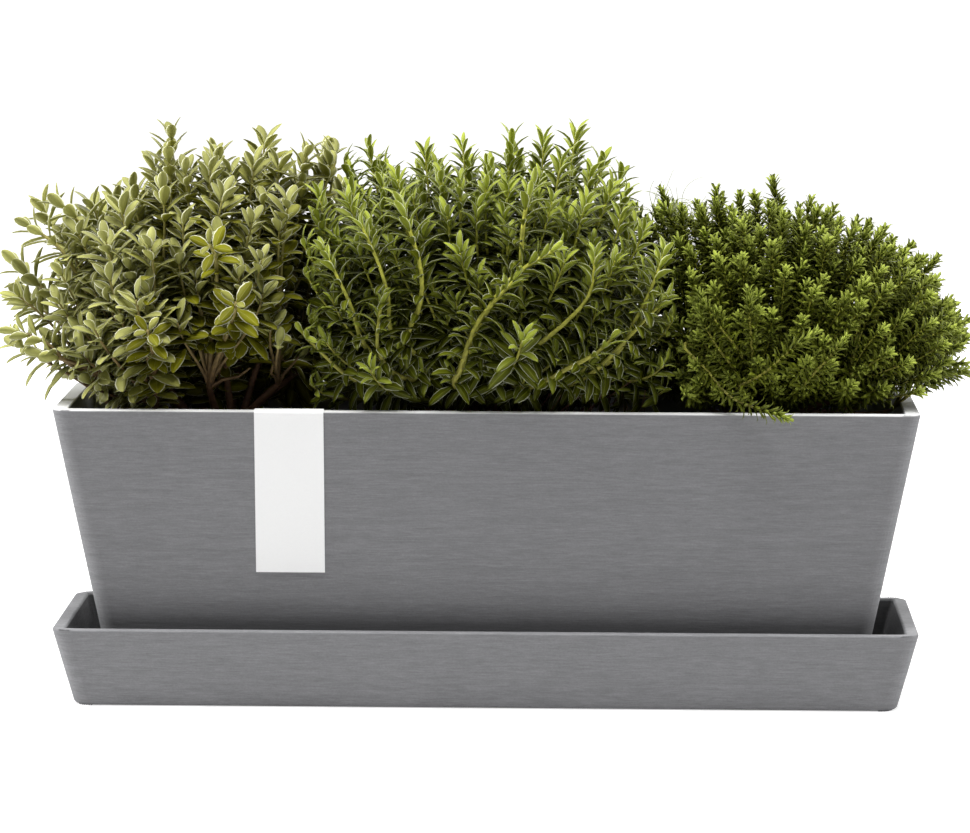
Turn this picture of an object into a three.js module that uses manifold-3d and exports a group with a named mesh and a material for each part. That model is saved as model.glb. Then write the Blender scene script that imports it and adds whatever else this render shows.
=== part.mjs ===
// A planted balcony trough: a tapered rectangular pot in a matching saucer, with three small
// evergreen shrubs and a card strip folded over its front rim. Millimetres, +Z up, +X along the
// trough, -Y to the front. The origin is the middle of the saucer's underside.
import * as THREE from "three";
import { mergeVertices } from "three/addons/utils/BufferGeometryUtils.js";
import Module from "manifold-3d";

const wasm = await Module();
wasm.setup();

// Pot, outside sizes at the rim
const POT_LENGTH = 545;
const POT_WIDTH = 165;
const POT_HEIGHT = 182;
const POT_DRAFT = 0.19; // how far a wall leans in for each millimetre down
const POT_WALL = 10;
const POT_FLOOR = 8;
const POT_CORNER = 12;

// Moulded feet and drain holes under the pot
const FOOT_LENGTH = 46;
const FOOT_WIDTH = 14;
const FOOT_HEIGHT = 3;
const FOOT_EDGE = 9; // from the edge of the pot's base to a foot
const FOOT_CORNER = 5;
const FOOT_COLUMNS = 3;
const DRAIN_DIAMETER = 12;
const DRAIN_PITCH = 105;
const DRAIN_COUNT = 4;
const DRAIN_SIDES = 12;
const DRAIN_CUT_SPARE = 4; // how far the cut for a hole reaches out of the floor on each side

// Saucer, whose rim is the pot's own size
const SAUCER_OVERHANG = 0.25; // how far its rim stands out past the pot's on each side
const SAUCER_HEIGHT = 50;
const SAUCER_DRAFT = 0.25;
const SAUCER_WALL = 8.5;
const SAUCER_FLOOR = 7;
const SAUCER_CORNER = 12;

// Roundings of both trays
const RIM_ROUND = 1.5;
const BASE_ROUND = 4;
const INNER_CORNER = 2; // least inside corner radius
const CORNER_STEPS = 4;
const FOOT_CORNER_STEPS = 2;

// Fill
const FIT = 0.3; // gap between pieces that lie against each other
const GRAVEL_DEPTH = 22;
const HEADSPACE = 28; // from the rim down to the soil
const ROOT_BALL_BED = 15.7; // soil between the gravel and a root ball
const ROOT_BALL_COVER = 8; // soil between a root ball and the pot's long walls
const ROOT_BALL_END_GAP = 24; // soil between an outer root ball and the pot's end wall
const ROOT_BALL_SIDES = 16;

// Card strip folded over the front rim
const LABEL_WIDTH = 43.5;
const LABEL_CENTRE = -123; // along the pot
const LABEL_DROP = 103; // down the front
const LABEL_SOIL_GAP = 4; // from its tucked end to the soil
const LABEL_THICKNESS = 0.6;
const LABEL_LIFT = 36; // room kept free of leaves for sliding the strip off

// Shrubs: room kept free round the leaves
const SHRUB_GAP = 3; // between neighbouring crowns
const LEAF_GAP = 0.5; // between leaves and stems of different shoots
const RIM_CLEARANCE = 3; // from the rim to the lowest leaf over it
const WALL_CLEARANCE = 3; // from the inside walls to a leaf below the rim
const SOIL_CLEARANCE = 4; // from the soil to the lowest leaf inside the pot
const WATERING_GAP = 46; // open soil between two shrubs, free of leaves up to the rim

// Shrubs: shared shape
const CROWN_LEAN = 30; // how far an outer crown's middle stands outside its root ball
const OUTER_CROWN_LENGTH = 208;
const DOME_POWER = 2.6; // 2 is a round dome, more is squarer
const DOME_DIP = 0.16; // share of a crown's height that hangs below its widest level
const COLLAR_RADIUS = 24; // woody foot that all the stems of a shrub grow from
const COLLAR_HEIGHT = 9;
const COLLAR_SHOULDER_RADIUS = 19;
const COLLAR_SHOULDER_HEIGHT = 6.3;
const COLLAR_SIDES = 8;
const STEM_RING_RADIUS = 13; // circle that the stems start on
const STEM_ROOTING = 3; // height of the stems' feet inside the collar
const STEM_RADIUS = 3.2;
const STEM_SIDES = 4;
const STEM_STEPS = 3;
const STEM_SPANS = 12; // straight spans that stand for a curved stem when leaves are kept off it
const STEM_RISE = 16; // how much higher a stem bends than STEM_CLIMB says
const STEM_CLIMB = 0.7; // share of its height that a stem has gained half way out
const BARE_SHARE = 0.3; // least share of a stem that carries no leaves
const SHOOT_RADIUS = 1.9; // of the green stem, at its foot and at its tip
const SHOOT_TIP_RADIUS = 1;
const SHOOT_SIDES = 4; // one for each rank of leaves
const BUD_LENGTH = 5;
const NODE_HEIGHT = 2.4; // stretch of green stem that a ring of leaves grows from
const LEAF_WIDEST = 0.45; // share of a leaf's length where it is widest
const LEAF_PROUD = 0.35; // share of a leaf's length that stands out past its shoot's tip
const FORK_SHARE = 0.14; // share of a leafy shoot below its two side shoots
const FORK_SPREAD = 0.62; // how far a side shoot's tip lies from the main tip, on a dome of radius 1
const FORK_DROP = 0.2; // and how much lower
const FORK_BEND = 0.2; // how far a side shoot first follows its main one, as a share of its own length
const SIDE_BARE_SHARE = 0.22; // share of a side shoot that carries no leaves
const GOLDEN_ANGLE = Math.PI * (3 - Math.sqrt(5));

// Each crown is a dome over its root ball: its depth across the trough, its widest level and its
// top above the soil. Leaves grow along the last stretch of each shoot.
const LEFT_DEPTH = 196;
const LEFT_WAIST = 76;
const LEFT_TOP = 200;
const LEFT_LEAFY_LENGTH = 70;
const LEFT_LEAF_LENGTH = 23;
const LEFT_LEAF_WIDTH = 11.5;
const LEFT_LEAF_THICKNESS = 1.4;
const MIDDLE_DEPTH = 192;
const MIDDLE_WAIST = 78;
const MIDDLE_TOP = 196;
const MIDDLE_LEAFY_LENGTH = 92;
const MIDDLE_LEAF_LENGTH = 27;
const MIDDLE_LEAF_WIDTH = 7;
const MIDDLE_LEAF_THICKNESS = 1.3;
const RIGHT_DEPTH = 192;
const RIGHT_WAIST = 62;
const RIGHT_TOP = 168;
const RIGHT_LEAFY_LENGTH = 64;
const RIGHT_NEEDLE_LENGTH = 11;
const RIGHT_NEEDLE_WIDTH = 2.8;

// Each leafy shoot forks in three. Leaves grow in opposite pairs and needles in fours, in rows. A
// leaf stands out square at a shoot's foot and leans up by rise, in radians, at its tip.
const SHRUBS = {
  left: {
    side: -1,
    depth: LEFT_DEPTH,
    waist: LEFT_WAIST,
    top: LEFT_TOP,
    leafyLength: LEFT_LEAFY_LENGTH,
    leaf: { length: LEFT_LEAF_LENGTH, width: LEFT_LEAF_WIDTH, thickness: LEFT_LEAF_THICKNESS, rise: 1.1 },
    shoots: 8,
    rows: 5,
    sideRows: 4,
    colour: 0x8f9c62,
  },
  middle: {
    side: 0,
    depth: MIDDLE_DEPTH,
    waist: MIDDLE_WAIST,
    top: MIDDLE_TOP,
    leafyLength: MIDDLE_LEAFY_LENGTH,
    leaf: { length: MIDDLE_LEAF_LENGTH, width: MIDDLE_LEAF_WIDTH, thickness: MIDDLE_LEAF_THICKNESS, rise: 1 },
    shoots: 8,
    rows: 6,
    sideRows: 4,
    colour: 0x5f7d2c,
  },
  right: {
    side: 1,
    depth: RIGHT_DEPTH,
    waist: RIGHT_WAIST,
    top: RIGHT_TOP,
    leafyLength: RIGHT_LEAFY_LENGTH,
    needle: { length: RIGHT_NEEDLE_LENGTH, width: RIGHT_NEEDLE_WIDTH, rise: 0.9 },
    shoots: 9,
    rows: 6,
    sideRows: 5,
    colour: 0x55742a,
  },
};

const potMaterial = new THREE.MeshStandardMaterial({ color: 0x77797b, roughness: 0.7 });
const gravelMaterial = new THREE.MeshStandardMaterial({ color: 0x8c5a40, roughness: 0.95 });
const soilMaterial = new THREE.MeshStandardMaterial({ color: 0x2d231b, roughness: 1 });
const rootMaterial = new THREE.MeshStandardMaterial({ color: 0x43342a, roughness: 1 });
const cardMaterial = new THREE.MeshStandardMaterial({ color: 0xf6f6f4, roughness: 0.8 });
const barkMaterial = new THREE.MeshStandardMaterial({ color: 0x6a4a33, roughness: 0.9 });

// Heights inside the pot's own frame, which stands on the saucer's floor
const potBase = FOOT_HEIGHT;
const potFloor = potBase + POT_FLOOR;
const gravelTop = potFloor + FIT + GRAVEL_DEPTH;
const soilLevel = POT_HEIGHT - HEADSPACE;
const rootBallFoot = gravelTop + ROOT_BALL_BED;
const rootBallHeight = soilLevel - rootBallFoot;

// Inside half length and half width of the pot at a height in its frame.
function insideHalf(z) {
  const inset = POT_DRAFT * (POT_HEIGHT - z) + POT_WALL;
  return { length: POT_LENGTH / 2 - inset, width: POT_WIDTH / 2 - inset };
}

const rootBallTopRadius = insideHalf(soilLevel).width - ROOT_BALL_COVER;
const rootBallFootRadius = insideHalf(rootBallFoot).width - ROOT_BALL_COVER;
const shrubPitch = insideHalf(rootBallFoot).length - rootBallFootRadius - ROOT_BALL_END_GAP;

// Collects triangles into one closed surface.
class Skin {
  points = [];

  triangle(a, b, c) {
    this.points.push(a, b, c);
  }

  quad(a, b, c, d) {
    this.triangle(a, b, c);
    this.triangle(a, c, d);
  }

  startCap(ring) {
    for (let k = 1; k < ring.length - 1; k++) this.triangle(ring[0], ring[k + 1], ring[k]);
  }

  endCap(ring) {
    for (let k = 1; k < ring.length - 1; k++) this.triangle(ring[0], ring[k], ring[k + 1]);
  }

  geometry() {
    const flat = new THREE.BufferGeometry().setFromPoints(this.points);
    const closed = mergeVertices(flat);
    closed.computeVertexNormals();
    return closed;
  }
}

// Joins rings of equal counts, each counterclockwise seen from the end, and caps both ends.
function loft(rings) {
  const skin = new Skin();
  skin.startCap(rings[0]);
  for (let i = 0; i + 1 < rings.length; i++) {
    const [low, high] = [rings[i], rings[i + 1]];
    for (let k = 0; k < low.length; k++) {
      const next = (k + 1) % low.length;
      skin.quad(low[k], low[next], high[next], high[k]);
    }
  }
  skin.endCap(rings.at(-1));
  return skin.geometry();
}

// A level rectangle with rounded corners, counterclockwise seen from above.
function roundedRing(length, width, radius, z, steps = CORNER_STEPS) {
  const ring = [];
  const corners = [[1, 1], [-1, 1], [-1, -1], [1, -1]];
  corners.forEach(([sideX, sideY], quarter) => {
    for (let k = 0; k <= steps; k++) {
      const angle = (quarter + k / steps) * (Math.PI / 2);
      const x = sideX * (length / 2 - radius) + radius * Math.cos(angle);
      const y = sideY * (width / 2 - radius) + radius * Math.sin(angle);
      ring.push(new THREE.Vector3(x, y, z));
    }
  });
  return ring;
}

// An open tapered tray between the levels base and top, with rounded edges and corners.
function tray({ length, width, base, top, draft, wall, floor, corner }) {
  const innerCorner = Math.max(corner - wall, INNER_CORNER);
  const lean = (z) => draft * (top - z);
  const shoulder = 1 - Math.SQRT1_2; // how far a quarter round's middle lies from its corner
  const rings = [];
  const addRing = (inset, z, radius) => {
    rings.push(roundedRing(length - 2 * inset, width - 2 * inset, radius, z));
  };
  addRing(lean(base) + BASE_ROUND, base, corner);
  addRing(lean(base) + BASE_ROUND * shoulder, base + BASE_ROUND * shoulder, corner);
  addRing(lean(base + BASE_ROUND), base + BASE_ROUND, corner);
  addRing(lean(top - RIM_ROUND), top - RIM_ROUND, corner);
  addRing(RIM_ROUND * shoulder, top - RIM_ROUND * shoulder, corner);
  addRing(RIM_ROUND, top, corner);
  addRing(wall - RIM_ROUND, top, innerCorner);
  addRing(wall, top - RIM_ROUND, innerCorner);
  addRing(wall + lean(base + floor), base + floor, innerCorner);
  return loft(rings);
}

// Turns a geometry into a solid for joining and cutting.
function solid(geometry) {
  const bare = new THREE.BufferGeometry();
  bare.setAttribute("position", geometry.getAttribute("position"));
  bare.setIndex(geometry.index);
  const merged = mergeVertices(bare);
  const mesh = new wasm.Mesh({
    numProp: 3,
    vertProperties: merged.getAttribute("position").array,
    triVerts: new Uint32Array(merged.index.array),
  });
  return new wasm.Manifold(mesh);
}

// Turns a solid back into a geometry.
function geometryOf(body) {
  const { vertProperties, triVerts } = body.getMesh();
  const geometry = new THREE.BufferGeometry();
  geometry.setAttribute("position", new THREE.BufferAttribute(vertProperties, 3));
  geometry.setIndex(new THREE.BufferAttribute(triVerts, 1));
  geometry.computeVertexNormals();
  return geometry;
}

function namedMesh(name, geometry, material) {
  const mesh = new THREE.Mesh(geometry, material);
  mesh.name = name;
  return mesh;
}

function makeSaucer() {
  const geometry = tray({
    length: POT_LENGTH + 2 * SAUCER_OVERHANG,
    width: POT_WIDTH + 2 * SAUCER_OVERHANG,
    base: 0,
    top: SAUCER_HEIGHT,
    draft: SAUCER_DRAFT,
    wall: SAUCER_WALL,
    floor: SAUCER_FLOOR,
    corner: SAUCER_CORNER,
  });
  return namedMesh("saucer", geometry, potMaterial);
}

// Columns spread evenly about the middle.
function spread(count, pitch) {
  return Array.from({ length: count }, (_, i) => (i - (count - 1) / 2) * pitch);
}

function makePotShell() {
  let body = solid(
    tray({
      length: POT_LENGTH,
      width: POT_WIDTH,
      base: potBase,
      top: POT_HEIGHT,
      draft: POT_DRAFT,
      wall: POT_WALL,
      floor: POT_FLOOR,
      corner: POT_CORNER,
    }),
  );
  // Feet reach into the floor so that they join it
  const baseInset = POT_DRAFT * (POT_HEIGHT - potBase) + BASE_ROUND;
  const footX = POT_LENGTH / 2 - baseInset - FOOT_EDGE - FOOT_LENGTH / 2;
  const footY = POT_WIDTH / 2 - baseInset - FOOT_EDGE - FOOT_WIDTH / 2;
  for (const x of spread(FOOT_COLUMNS, (2 * footX) / (FOOT_COLUMNS - 1)))
    for (const y of [-footY, footY]) {
      const rings = [0, potBase + POT_FLOOR / 2].map((z) =>
        roundedRing(FOOT_LENGTH, FOOT_WIDTH, FOOT_CORNER, z, FOOT_CORNER_STEPS),
      );
      const foot = loft(rings).translate(x, y, 0);
      body = body.add(solid(foot));
    }
  for (const x of spread(DRAIN_COUNT, DRAIN_PITCH)) {
    const radius = DRAIN_DIAMETER / 2;
    const hole = new THREE.CylinderGeometry(radius, radius, POT_FLOOR + 2 * DRAIN_CUT_SPARE, DRAIN_SIDES);
    hole.rotateX(Math.PI / 2).translate(x, 0, potBase + POT_FLOOR / 2);
    body = body.subtract(solid(hole));
  }
  return namedMesh("pot_shell", geometryOf(body), potMaterial);
}

// A block that fills the pot between two levels, with a gap to its walls.
function fillBlock(bottom, top) {
  const corner = Math.max(POT_CORNER - POT_WALL, INNER_CORNER);
  const rings = [bottom, top].map((z) => {
    const half = insideHalf(z);
    return roundedRing(2 * (half.length - FIT), 2 * (half.width - FIT), corner, z);
  });
  return loft(rings);
}

function makeGravel() {
  return namedMesh("drainage_gravel", fillBlock(potFloor + FIT, gravelTop), gravelMaterial);
}

// A root ball's turned shape about its own axis, with its top at z = rise.
function rootBallShape(margin, rise) {
  const slope = (rootBallTopRadius - rootBallFootRadius) / rootBallHeight;
  const foot = -rootBallHeight - margin;
  const profile = [
    new THREE.Vector2(0, foot),
    new THREE.Vector2(rootBallFootRadius + margin, foot),
    new THREE.Vector2(rootBallTopRadius + margin + slope * rise, rise),
    new THREE.Vector2(0, rise),
  ];
  return new THREE.LatheGeometry(profile, ROOT_BALL_SIDES).rotateX(Math.PI / 2);
}

function makeSoil() {
  let body = solid(fillBlock(gravelTop + FIT, soilLevel));
  for (const { side } of Object.values(SHRUBS)) {
    const pocket = rootBallShape(FIT, SOIL_CLEARANCE).translate(side * shrubPitch, 0, soilLevel);
    body = body.subtract(solid(pocket));
  }
  return namedMesh("potting_soil", geometryOf(body), soilMaterial);
}

// The strip's section is drawn from the front edge over the rim to the tucked end, at two
// distances from the pot: its outer face and then, coming back, its inner face.
function makeLabel() {
  const slant = Math.hypot(1, POT_DRAFT);
  const frontY = (z, gap) => -POT_WIDTH / 2 + POT_DRAFT * (POT_HEIGHT - z) - gap * slant;
  const insideY = (z, gap) => frontY(z, 0) + POT_WALL + gap * slant;
  const frontEnd = POT_HEIGHT - LABEL_DROP;
  const tuckedEnd = soilLevel + LABEL_SOIL_GAP;
  const face = (gap) => {
    const over = POT_HEIGHT + gap;
    return [
      new THREE.Vector2(frontY(frontEnd, gap), frontEnd),
      new THREE.Vector2(frontY(over, gap), over),
      new THREE.Vector2(insideY(over, gap), over),
      new THREE.Vector2(insideY(tuckedEnd, gap), tuckedEnd),
    ];
  };
  const section = new THREE.Shape([...face(FIT + LABEL_THICKNESS), ...face(FIT).reverse()]);
  const geometry = new THREE.ExtrudeGeometry(section, { depth: LABEL_WIDTH, bevelEnabled: false });
  const mesh = namedMesh("label_strip", geometry, cardMaterial);
  // The section's x and y become the pot's Y and Z, and its depth runs along X
  const [alongX, alongY, alongZ] = [[1, 0, 0], [0, 1, 0], [0, 0, 1]].map((v) => new THREE.Vector3(...v));
  mesh.setRotationFromMatrix(new THREE.Matrix4().makeBasis(alongY, alongZ, alongX));
  mesh.position.x = LABEL_CENTRE - LABEL_WIDTH / 2;
  return mesh;
}

// The plane between two crowns, as a distance from the middle of the trough
const crownBoundary = shrubPitch + CROWN_LEAN - OUTER_CROWN_LENGTH / 2;

// Half length, half depth and middle of a shrub's crown.
function crownOf(shrub) {
  const halfLength = shrub.side ? OUTER_CROWN_LENGTH / 2 : crownBoundary;
  return {
    x: shrub.side * (shrubPitch + CROWN_LEAN),
    halfLength: halfLength - SHRUB_GAP / 2,
    halfDepth: shrub.depth / 2,
  };
}

// The point of a crown's dome in the direction of a height from -1 to 1 and an angle about Z.
function domePoint(shrub, height, angle) {
  const crown = crownOf(shrub);
  const reach = (shrub.leaf ?? shrub.needle).length * LEAF_PROUD;
  const level = Math.sqrt(1 - height * height);
  const way = new THREE.Vector3(level * Math.cos(angle), level * Math.sin(angle), height);
  const powers = way.toArray().map((v) => Math.abs(v) ** DOME_POWER);
  way.multiplyScalar((powers[0] + powers[1] + powers[2]) ** (-1 / DOME_POWER));
  return new THREE.Vector3(
    crown.x + way.x * (crown.halfLength - reach),
    way.y * (crown.halfDepth - reach),
    soilLevel + shrub.waist + way.z * (shrub.top - shrub.waist - reach),
  );
}

// The curves of a shrub's shoots. Main tips are spread over the dome by the golden angle, and two
// side shoots leave each main one for lower points beside its tip. A stem rises from the collar
// and then leans out.
function shootPaths(shrub) {
  return Array.from({ length: shrub.shoots }, (_, i) => {
    const height = 1 - (1 + DOME_DIP) * ((i + 0.5) / shrub.shoots);
    const angle = i * GOLDEN_ANGLE;
    const tip = domePoint(shrub, height, angle);
    const foot = new THREE.Vector3(
      shrub.side * shrubPitch + STEM_RING_RADIUS * Math.cos(angle),
      STEM_RING_RADIUS * Math.sin(angle),
      soilLevel + FIT + STEM_ROOTING,
    );
    const bend = foot.clone().lerp(tip, 0.5);
    bend.z = foot.z + (tip.z - foot.z) * STEM_CLIMB + STEM_RISE;
    const main = new THREE.QuadraticBezierCurve3(foot, bend, tip);
    const start = leafyStart(shrub, main);
    const fork = start + FORK_SHARE * (1 - start);
    const turn = Math.min(FORK_SPREAD / Math.sqrt(1 - height * height), (2 * Math.PI) / 3);
    const sides = [-turn, turn].map((by) => {
      const sideTip = domePoint(shrub, Math.max(height - FORK_DROP, -DOME_DIP), angle + by);
      const from = main.getPointAt(fork);
      const sideBend = from.clone().lerp(sideTip, 0.5);
      sideBend.addScaledVector(main.getTangentAt(fork), FORK_BEND * from.distanceTo(sideTip));
      return new THREE.QuadraticBezierCurve3(from, sideBend, sideTip);
    });
    return { main, start, sides };
  });
}

// A ring across a curve that lies in one plane, at the share u of its length.
function ringAcross(curve, u, radius, sides) {
  const { centre, normal, binormal } = crossAxes(curve, u);
  return Array.from({ length: sides }, (_, k) => {
    const angle = ((k + 0.5) / sides) * 2 * Math.PI;
    return centre
      .clone()
      .addScaledVector(normal, radius * Math.cos(angle))
      .addScaledVector(binormal, radius * Math.sin(angle));
  });
}

function crossAxes(curve, u) {
  const tangent = curve.getTangentAt(u);
  const span = curve.v2.clone().sub(curve.v0);
  const binormal = curve.v1.clone().sub(curve.v0).cross(span).normalize();
  const normal = binormal.clone().cross(tangent);
  return { centre: curve.getPointAt(u), tangent, normal, binormal };
}

// Share of a stem's length where its leafy shoot starts.
function leafyStart(shrub, curve) {
  return Math.max(1 - shrub.leafyLength / curve.getLength(), BARE_SHARE);
}

// Space already taken: capsules with the shoot that owns them.
const taken = [];

function segmentGap(a, b) {
  const line = new THREE.Line3(a.from, a.to);
  const other = new THREE.Line3(b.from, b.to);
  return Math.sqrt(line.distanceSqToLine3(other));
}

function isFree(capsule) {
  return taken.every(
    (other) =>
      other.owner === capsule.owner ||
      segmentGap(capsule, other) > capsule.radius + other.radius + LEAF_GAP,
  );
}

// True where a leaf's point stays off the pot, the soil, the strip's way up, the open soil
// between the shrubs and the neighbouring crown.
function isOpen(point, shrub) {
  const { x, y, z } = point;
  const towards = shrub.side ? x * shrub.side - crownBoundary : crownBoundary - Math.abs(x);
  if (towards < SHRUB_GAP / 2) return false;
  const inside = insideHalf(z);
  if (z < POT_HEIGHT + RIM_CLEARANCE) {
    if (z < soilLevel + SOIL_CLEARANCE) return false;
    if (Math.abs(x) > inside.length - WALL_CLEARANCE) return false;
    if (Math.abs(y) > inside.width - WALL_CLEARANCE) return false;
    if (Math.abs(Math.abs(x) - shrubPitch / 2) < WATERING_GAP / 2) return false;
  }
  const besideStrip = Math.abs(x - LABEL_CENTRE) > LABEL_WIDTH / 2 + WALL_CLEARANCE;
  const behindStrip = y > WALL_CLEARANCE - inside.width;
  const aboveStrip = z > POT_HEIGHT + LABEL_LIFT + RIM_CLEARANCE;
  return besideStrip || behindStrip || aboveStrip;
}

// A leaf or needle that grows from one facet of the green stem: its widest section, as two edges
// and a keel below, and its tip. It is null where there is no room.
function growLeaf(base, axes, outward, lean, shrub, owner) {
  const form = shrub.leaf ?? shrub.needle;
  const middle = base.reduce((sum, p) => sum.add(p), new THREE.Vector3()).multiplyScalar(0.25);
  const along = outward.clone().multiplyScalar(Math.cos(lean)).addScaledVector(axes.tangent, Math.sin(lean));
  const sideways = axes.tangent.clone().cross(outward);
  const upper = along.clone().cross(sideways);
  const tip = middle.clone().addScaledVector(along, form.length);
  const widest = middle.clone().addScaledVector(along, form.length * LEAF_WIDEST);
  const halfWidth = form.width / 2;
  const [left, right] = [-halfWidth, halfWidth].map((w) => widest.clone().addScaledVector(sideways, w));
  if (![middle, left, right, tip].every((p) => isOpen(p, shrub))) return null;
  const capsule = { from: middle, to: tip, radius: halfWidth, owner };
  if (!isFree(capsule)) return null;
  taken.push(capsule);
  const keel = widest.clone().addScaledVector(upper, -form.thickness);
  return { left, right, keel, tip };
}

// Replaces a facet, given from its lower left corner counterclockwise, by the leaf on it.
function addLeaf(skin, [lowLeft, lowRight, highRight, highLeft], { left, right, keel, tip }) {
  skin.triangle(lowLeft, lowRight, keel);
  skin.quad(lowRight, highRight, right, keel);
  skin.quad(highRight, highLeft, left, right);
  skin.quad(highLeft, lowLeft, keel, left);
  skin.triangle(keel, right, tip);
  skin.triangle(right, left, tip);
  skin.triangle(left, keel, tip);
}

function addNeedle(skin, base, { tip }) {
  base.forEach((corner, k) => skin.triangle(corner, base[(k + 1) % base.length], tip));
}

// A square stem of facets from ring to ring. Facets that bear a leaf or a needle grow out into it.
function leafyShoot(shrub, { curve, foot, start, rows, owner }) {
  const skin = new Skin();
  const form = shrub.leaf ?? shrub.needle;
  const addForm = shrub.leaf ? addLeaf : addNeedle;
  const nodeShare = NODE_HEIGHT / curve.getLength();
  const ringAt = (u) => {
    const share = THREE.MathUtils.clamp((u - start) / (1 - start), 0, 1);
    const radius = THREE.MathUtils.lerp(SHOOT_RADIUS, SHOOT_TIP_RADIUS, share);
    return ringAcross(curve, u, radius, SHOOT_SIDES);
  };
  let ring = ringAt(foot);
  skin.startCap(ring);
  const climb = (u, leafOn) => {
    const above = ringAt(u);
    ring.forEach((corner, k) => {
      const next = (k + 1) % SHOOT_SIDES;
      const facet = [corner, ring[next], above[next], above[k]];
      const leaf = leafOn(k, facet);
      if (leaf) addForm(skin, facet, leaf);
      else skin.quad(...facet);
    });
    ring = above;
  };
  const bare = () => null;
  if (foot < start) climb(start, bare);
  for (let row = 0; row < rows; row++) {
    const share = (row + 1) / rows;
    const u = start + share * (1 - start);
    if (shrub.leaf) climb(u - nodeShare, bare);
    const axes = crossAxes(curve, u);
    climb(u, (k, facet) => {
      if (shrub.leaf && (k + row) % 2) return null;
      const angle = ((k + 1) / SHOOT_SIDES) * 2 * Math.PI;
      const outward = axes.normal.clone().multiplyScalar(Math.cos(angle));
      outward.addScaledVector(axes.binormal, Math.sin(angle));
      return growLeaf(facet, axes, outward, form.rise * share, shrub, owner);
    });
  }
  const bud = curve.getPointAt(1).addScaledVector(curve.getTangentAt(1), BUD_LENGTH);
  ring.forEach((corner, k) => skin.triangle(corner, ring[(k + 1) % SHOOT_SIDES], bud));
  return skin.geometry();
}

// The bare woody stems of a shrub, joined by the collar at their foot.
function woodyStems(shrub, paths) {
  const dome = [
    new THREE.Vector2(0, 0),
    new THREE.Vector2(COLLAR_RADIUS, 0),
    new THREE.Vector2(COLLAR_SHOULDER_RADIUS, COLLAR_SHOULDER_HEIGHT),
    new THREE.Vector2(0, COLLAR_HEIGHT),
  ];
  const collar = new THREE.LatheGeometry(dome, COLLAR_SIDES).rotateX(Math.PI / 2);
  let body = solid(collar.translate(shrub.side * shrubPitch, 0, soilLevel + FIT));
  for (const { main, start } of paths) {
    const end = start - FIT / main.getLength();
    const rings = Array.from({ length: STEM_STEPS + 1 }, (_, k) => {
      const radius = THREE.MathUtils.lerp(STEM_RADIUS, SHOOT_RADIUS, k / STEM_STEPS);
      return ringAcross(main, (end * k) / STEM_STEPS, radius, STEM_SIDES);
    });
    body = body.add(solid(loft(rings)));
  }
  return geometryOf(body);
}

// A main leafy shoot with its two side shoots, joined.
function forkedShoot(shrub, { main, start, sides }, owner) {
  const mainShoot = { curve: main, foot: start, start, rows: shrub.rows, owner };
  let body = solid(leafyShoot(shrub, mainShoot));
  sides.forEach((curve, k) => {
    const sideShoot = { curve, foot: 0, start: SIDE_BARE_SHARE, rows: shrub.sideRows, owner: owner + k };
    body = body.add(solid(leafyShoot(shrub, sideShoot)));
  });
  return geometryOf(body);
}

// Takes the space of a stem, as a row of capsules along its curve.
function takeStem(curve, owner) {
  const points = curve.getSpacedPoints(STEM_SPANS);
  for (let k = 0; k < STEM_SPANS; k++)
    taken.push({ from: points[k], to: points[k + 1], radius: STEM_RADIUS, owner });
}

function makeShrubs() {
  const names = Object.keys(SHRUBS);
  const paths = names.map((name) => shootPaths(SHRUBS[name]));
  const number = (i) => String(i + 1).padStart(2, "0");
  names.forEach((name, n) =>
    paths[n].forEach(({ main, sides }, i) => {
      takeStem(main, name + number(i));
      sides.forEach((curve, k) => takeStem(curve, name + number(i) + k));
    }),
  );
  return names.map((name, n) => {
    const shrub = SHRUBS[name];
    const group = new THREE.Group();
    const rootBall = namedMesh("root_ball_" + name, rootBallShape(0, 0), rootMaterial);
    rootBall.position.set(shrub.side * shrubPitch, 0, soilLevel);
    group.add(rootBall, namedMesh("stems_" + name, woodyStems(shrub, paths[n]), barkMaterial));
    const leafMaterial = new THREE.MeshStandardMaterial({ color: shrub.colour, roughness: 0.55 });
    paths[n].forEach((path, i) => {
      const geometry = forkedShoot(shrub, path, name + number(i));
      group.add(namedMesh("shoot_" + name + "_" + number(i), geometry, leafMaterial));
    });
    return group;
  });
}

const pot = new THREE.Group();
pot.position.z = SAUCER_FLOOR + FIT;
pot.add(makePotShell(), makeGravel(), makeSoil(), makeLabel(), ...makeShrubs());

const trough = new THREE.Group();
trough.add(makeSaucer(), pot);

export default trough;
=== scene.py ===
import math

import bmesh
import bpy
import numpy as np
from mathutils import Matrix, Vector, noise


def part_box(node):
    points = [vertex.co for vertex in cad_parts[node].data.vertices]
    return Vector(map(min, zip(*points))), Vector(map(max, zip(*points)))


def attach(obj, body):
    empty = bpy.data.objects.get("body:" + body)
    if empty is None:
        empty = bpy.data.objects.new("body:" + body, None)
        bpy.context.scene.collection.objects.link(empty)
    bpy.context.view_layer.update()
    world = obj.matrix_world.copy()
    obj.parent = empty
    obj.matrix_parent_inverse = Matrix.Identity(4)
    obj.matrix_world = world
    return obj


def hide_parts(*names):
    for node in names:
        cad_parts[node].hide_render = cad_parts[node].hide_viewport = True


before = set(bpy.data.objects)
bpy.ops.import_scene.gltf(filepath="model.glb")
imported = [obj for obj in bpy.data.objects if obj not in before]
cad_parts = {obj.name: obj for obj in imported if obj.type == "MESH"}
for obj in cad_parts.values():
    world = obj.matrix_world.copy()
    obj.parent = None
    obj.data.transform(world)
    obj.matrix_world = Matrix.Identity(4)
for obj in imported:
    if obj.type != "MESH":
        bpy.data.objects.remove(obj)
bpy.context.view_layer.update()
bpy.ops.object.select_all(action="DESELECT")

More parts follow.
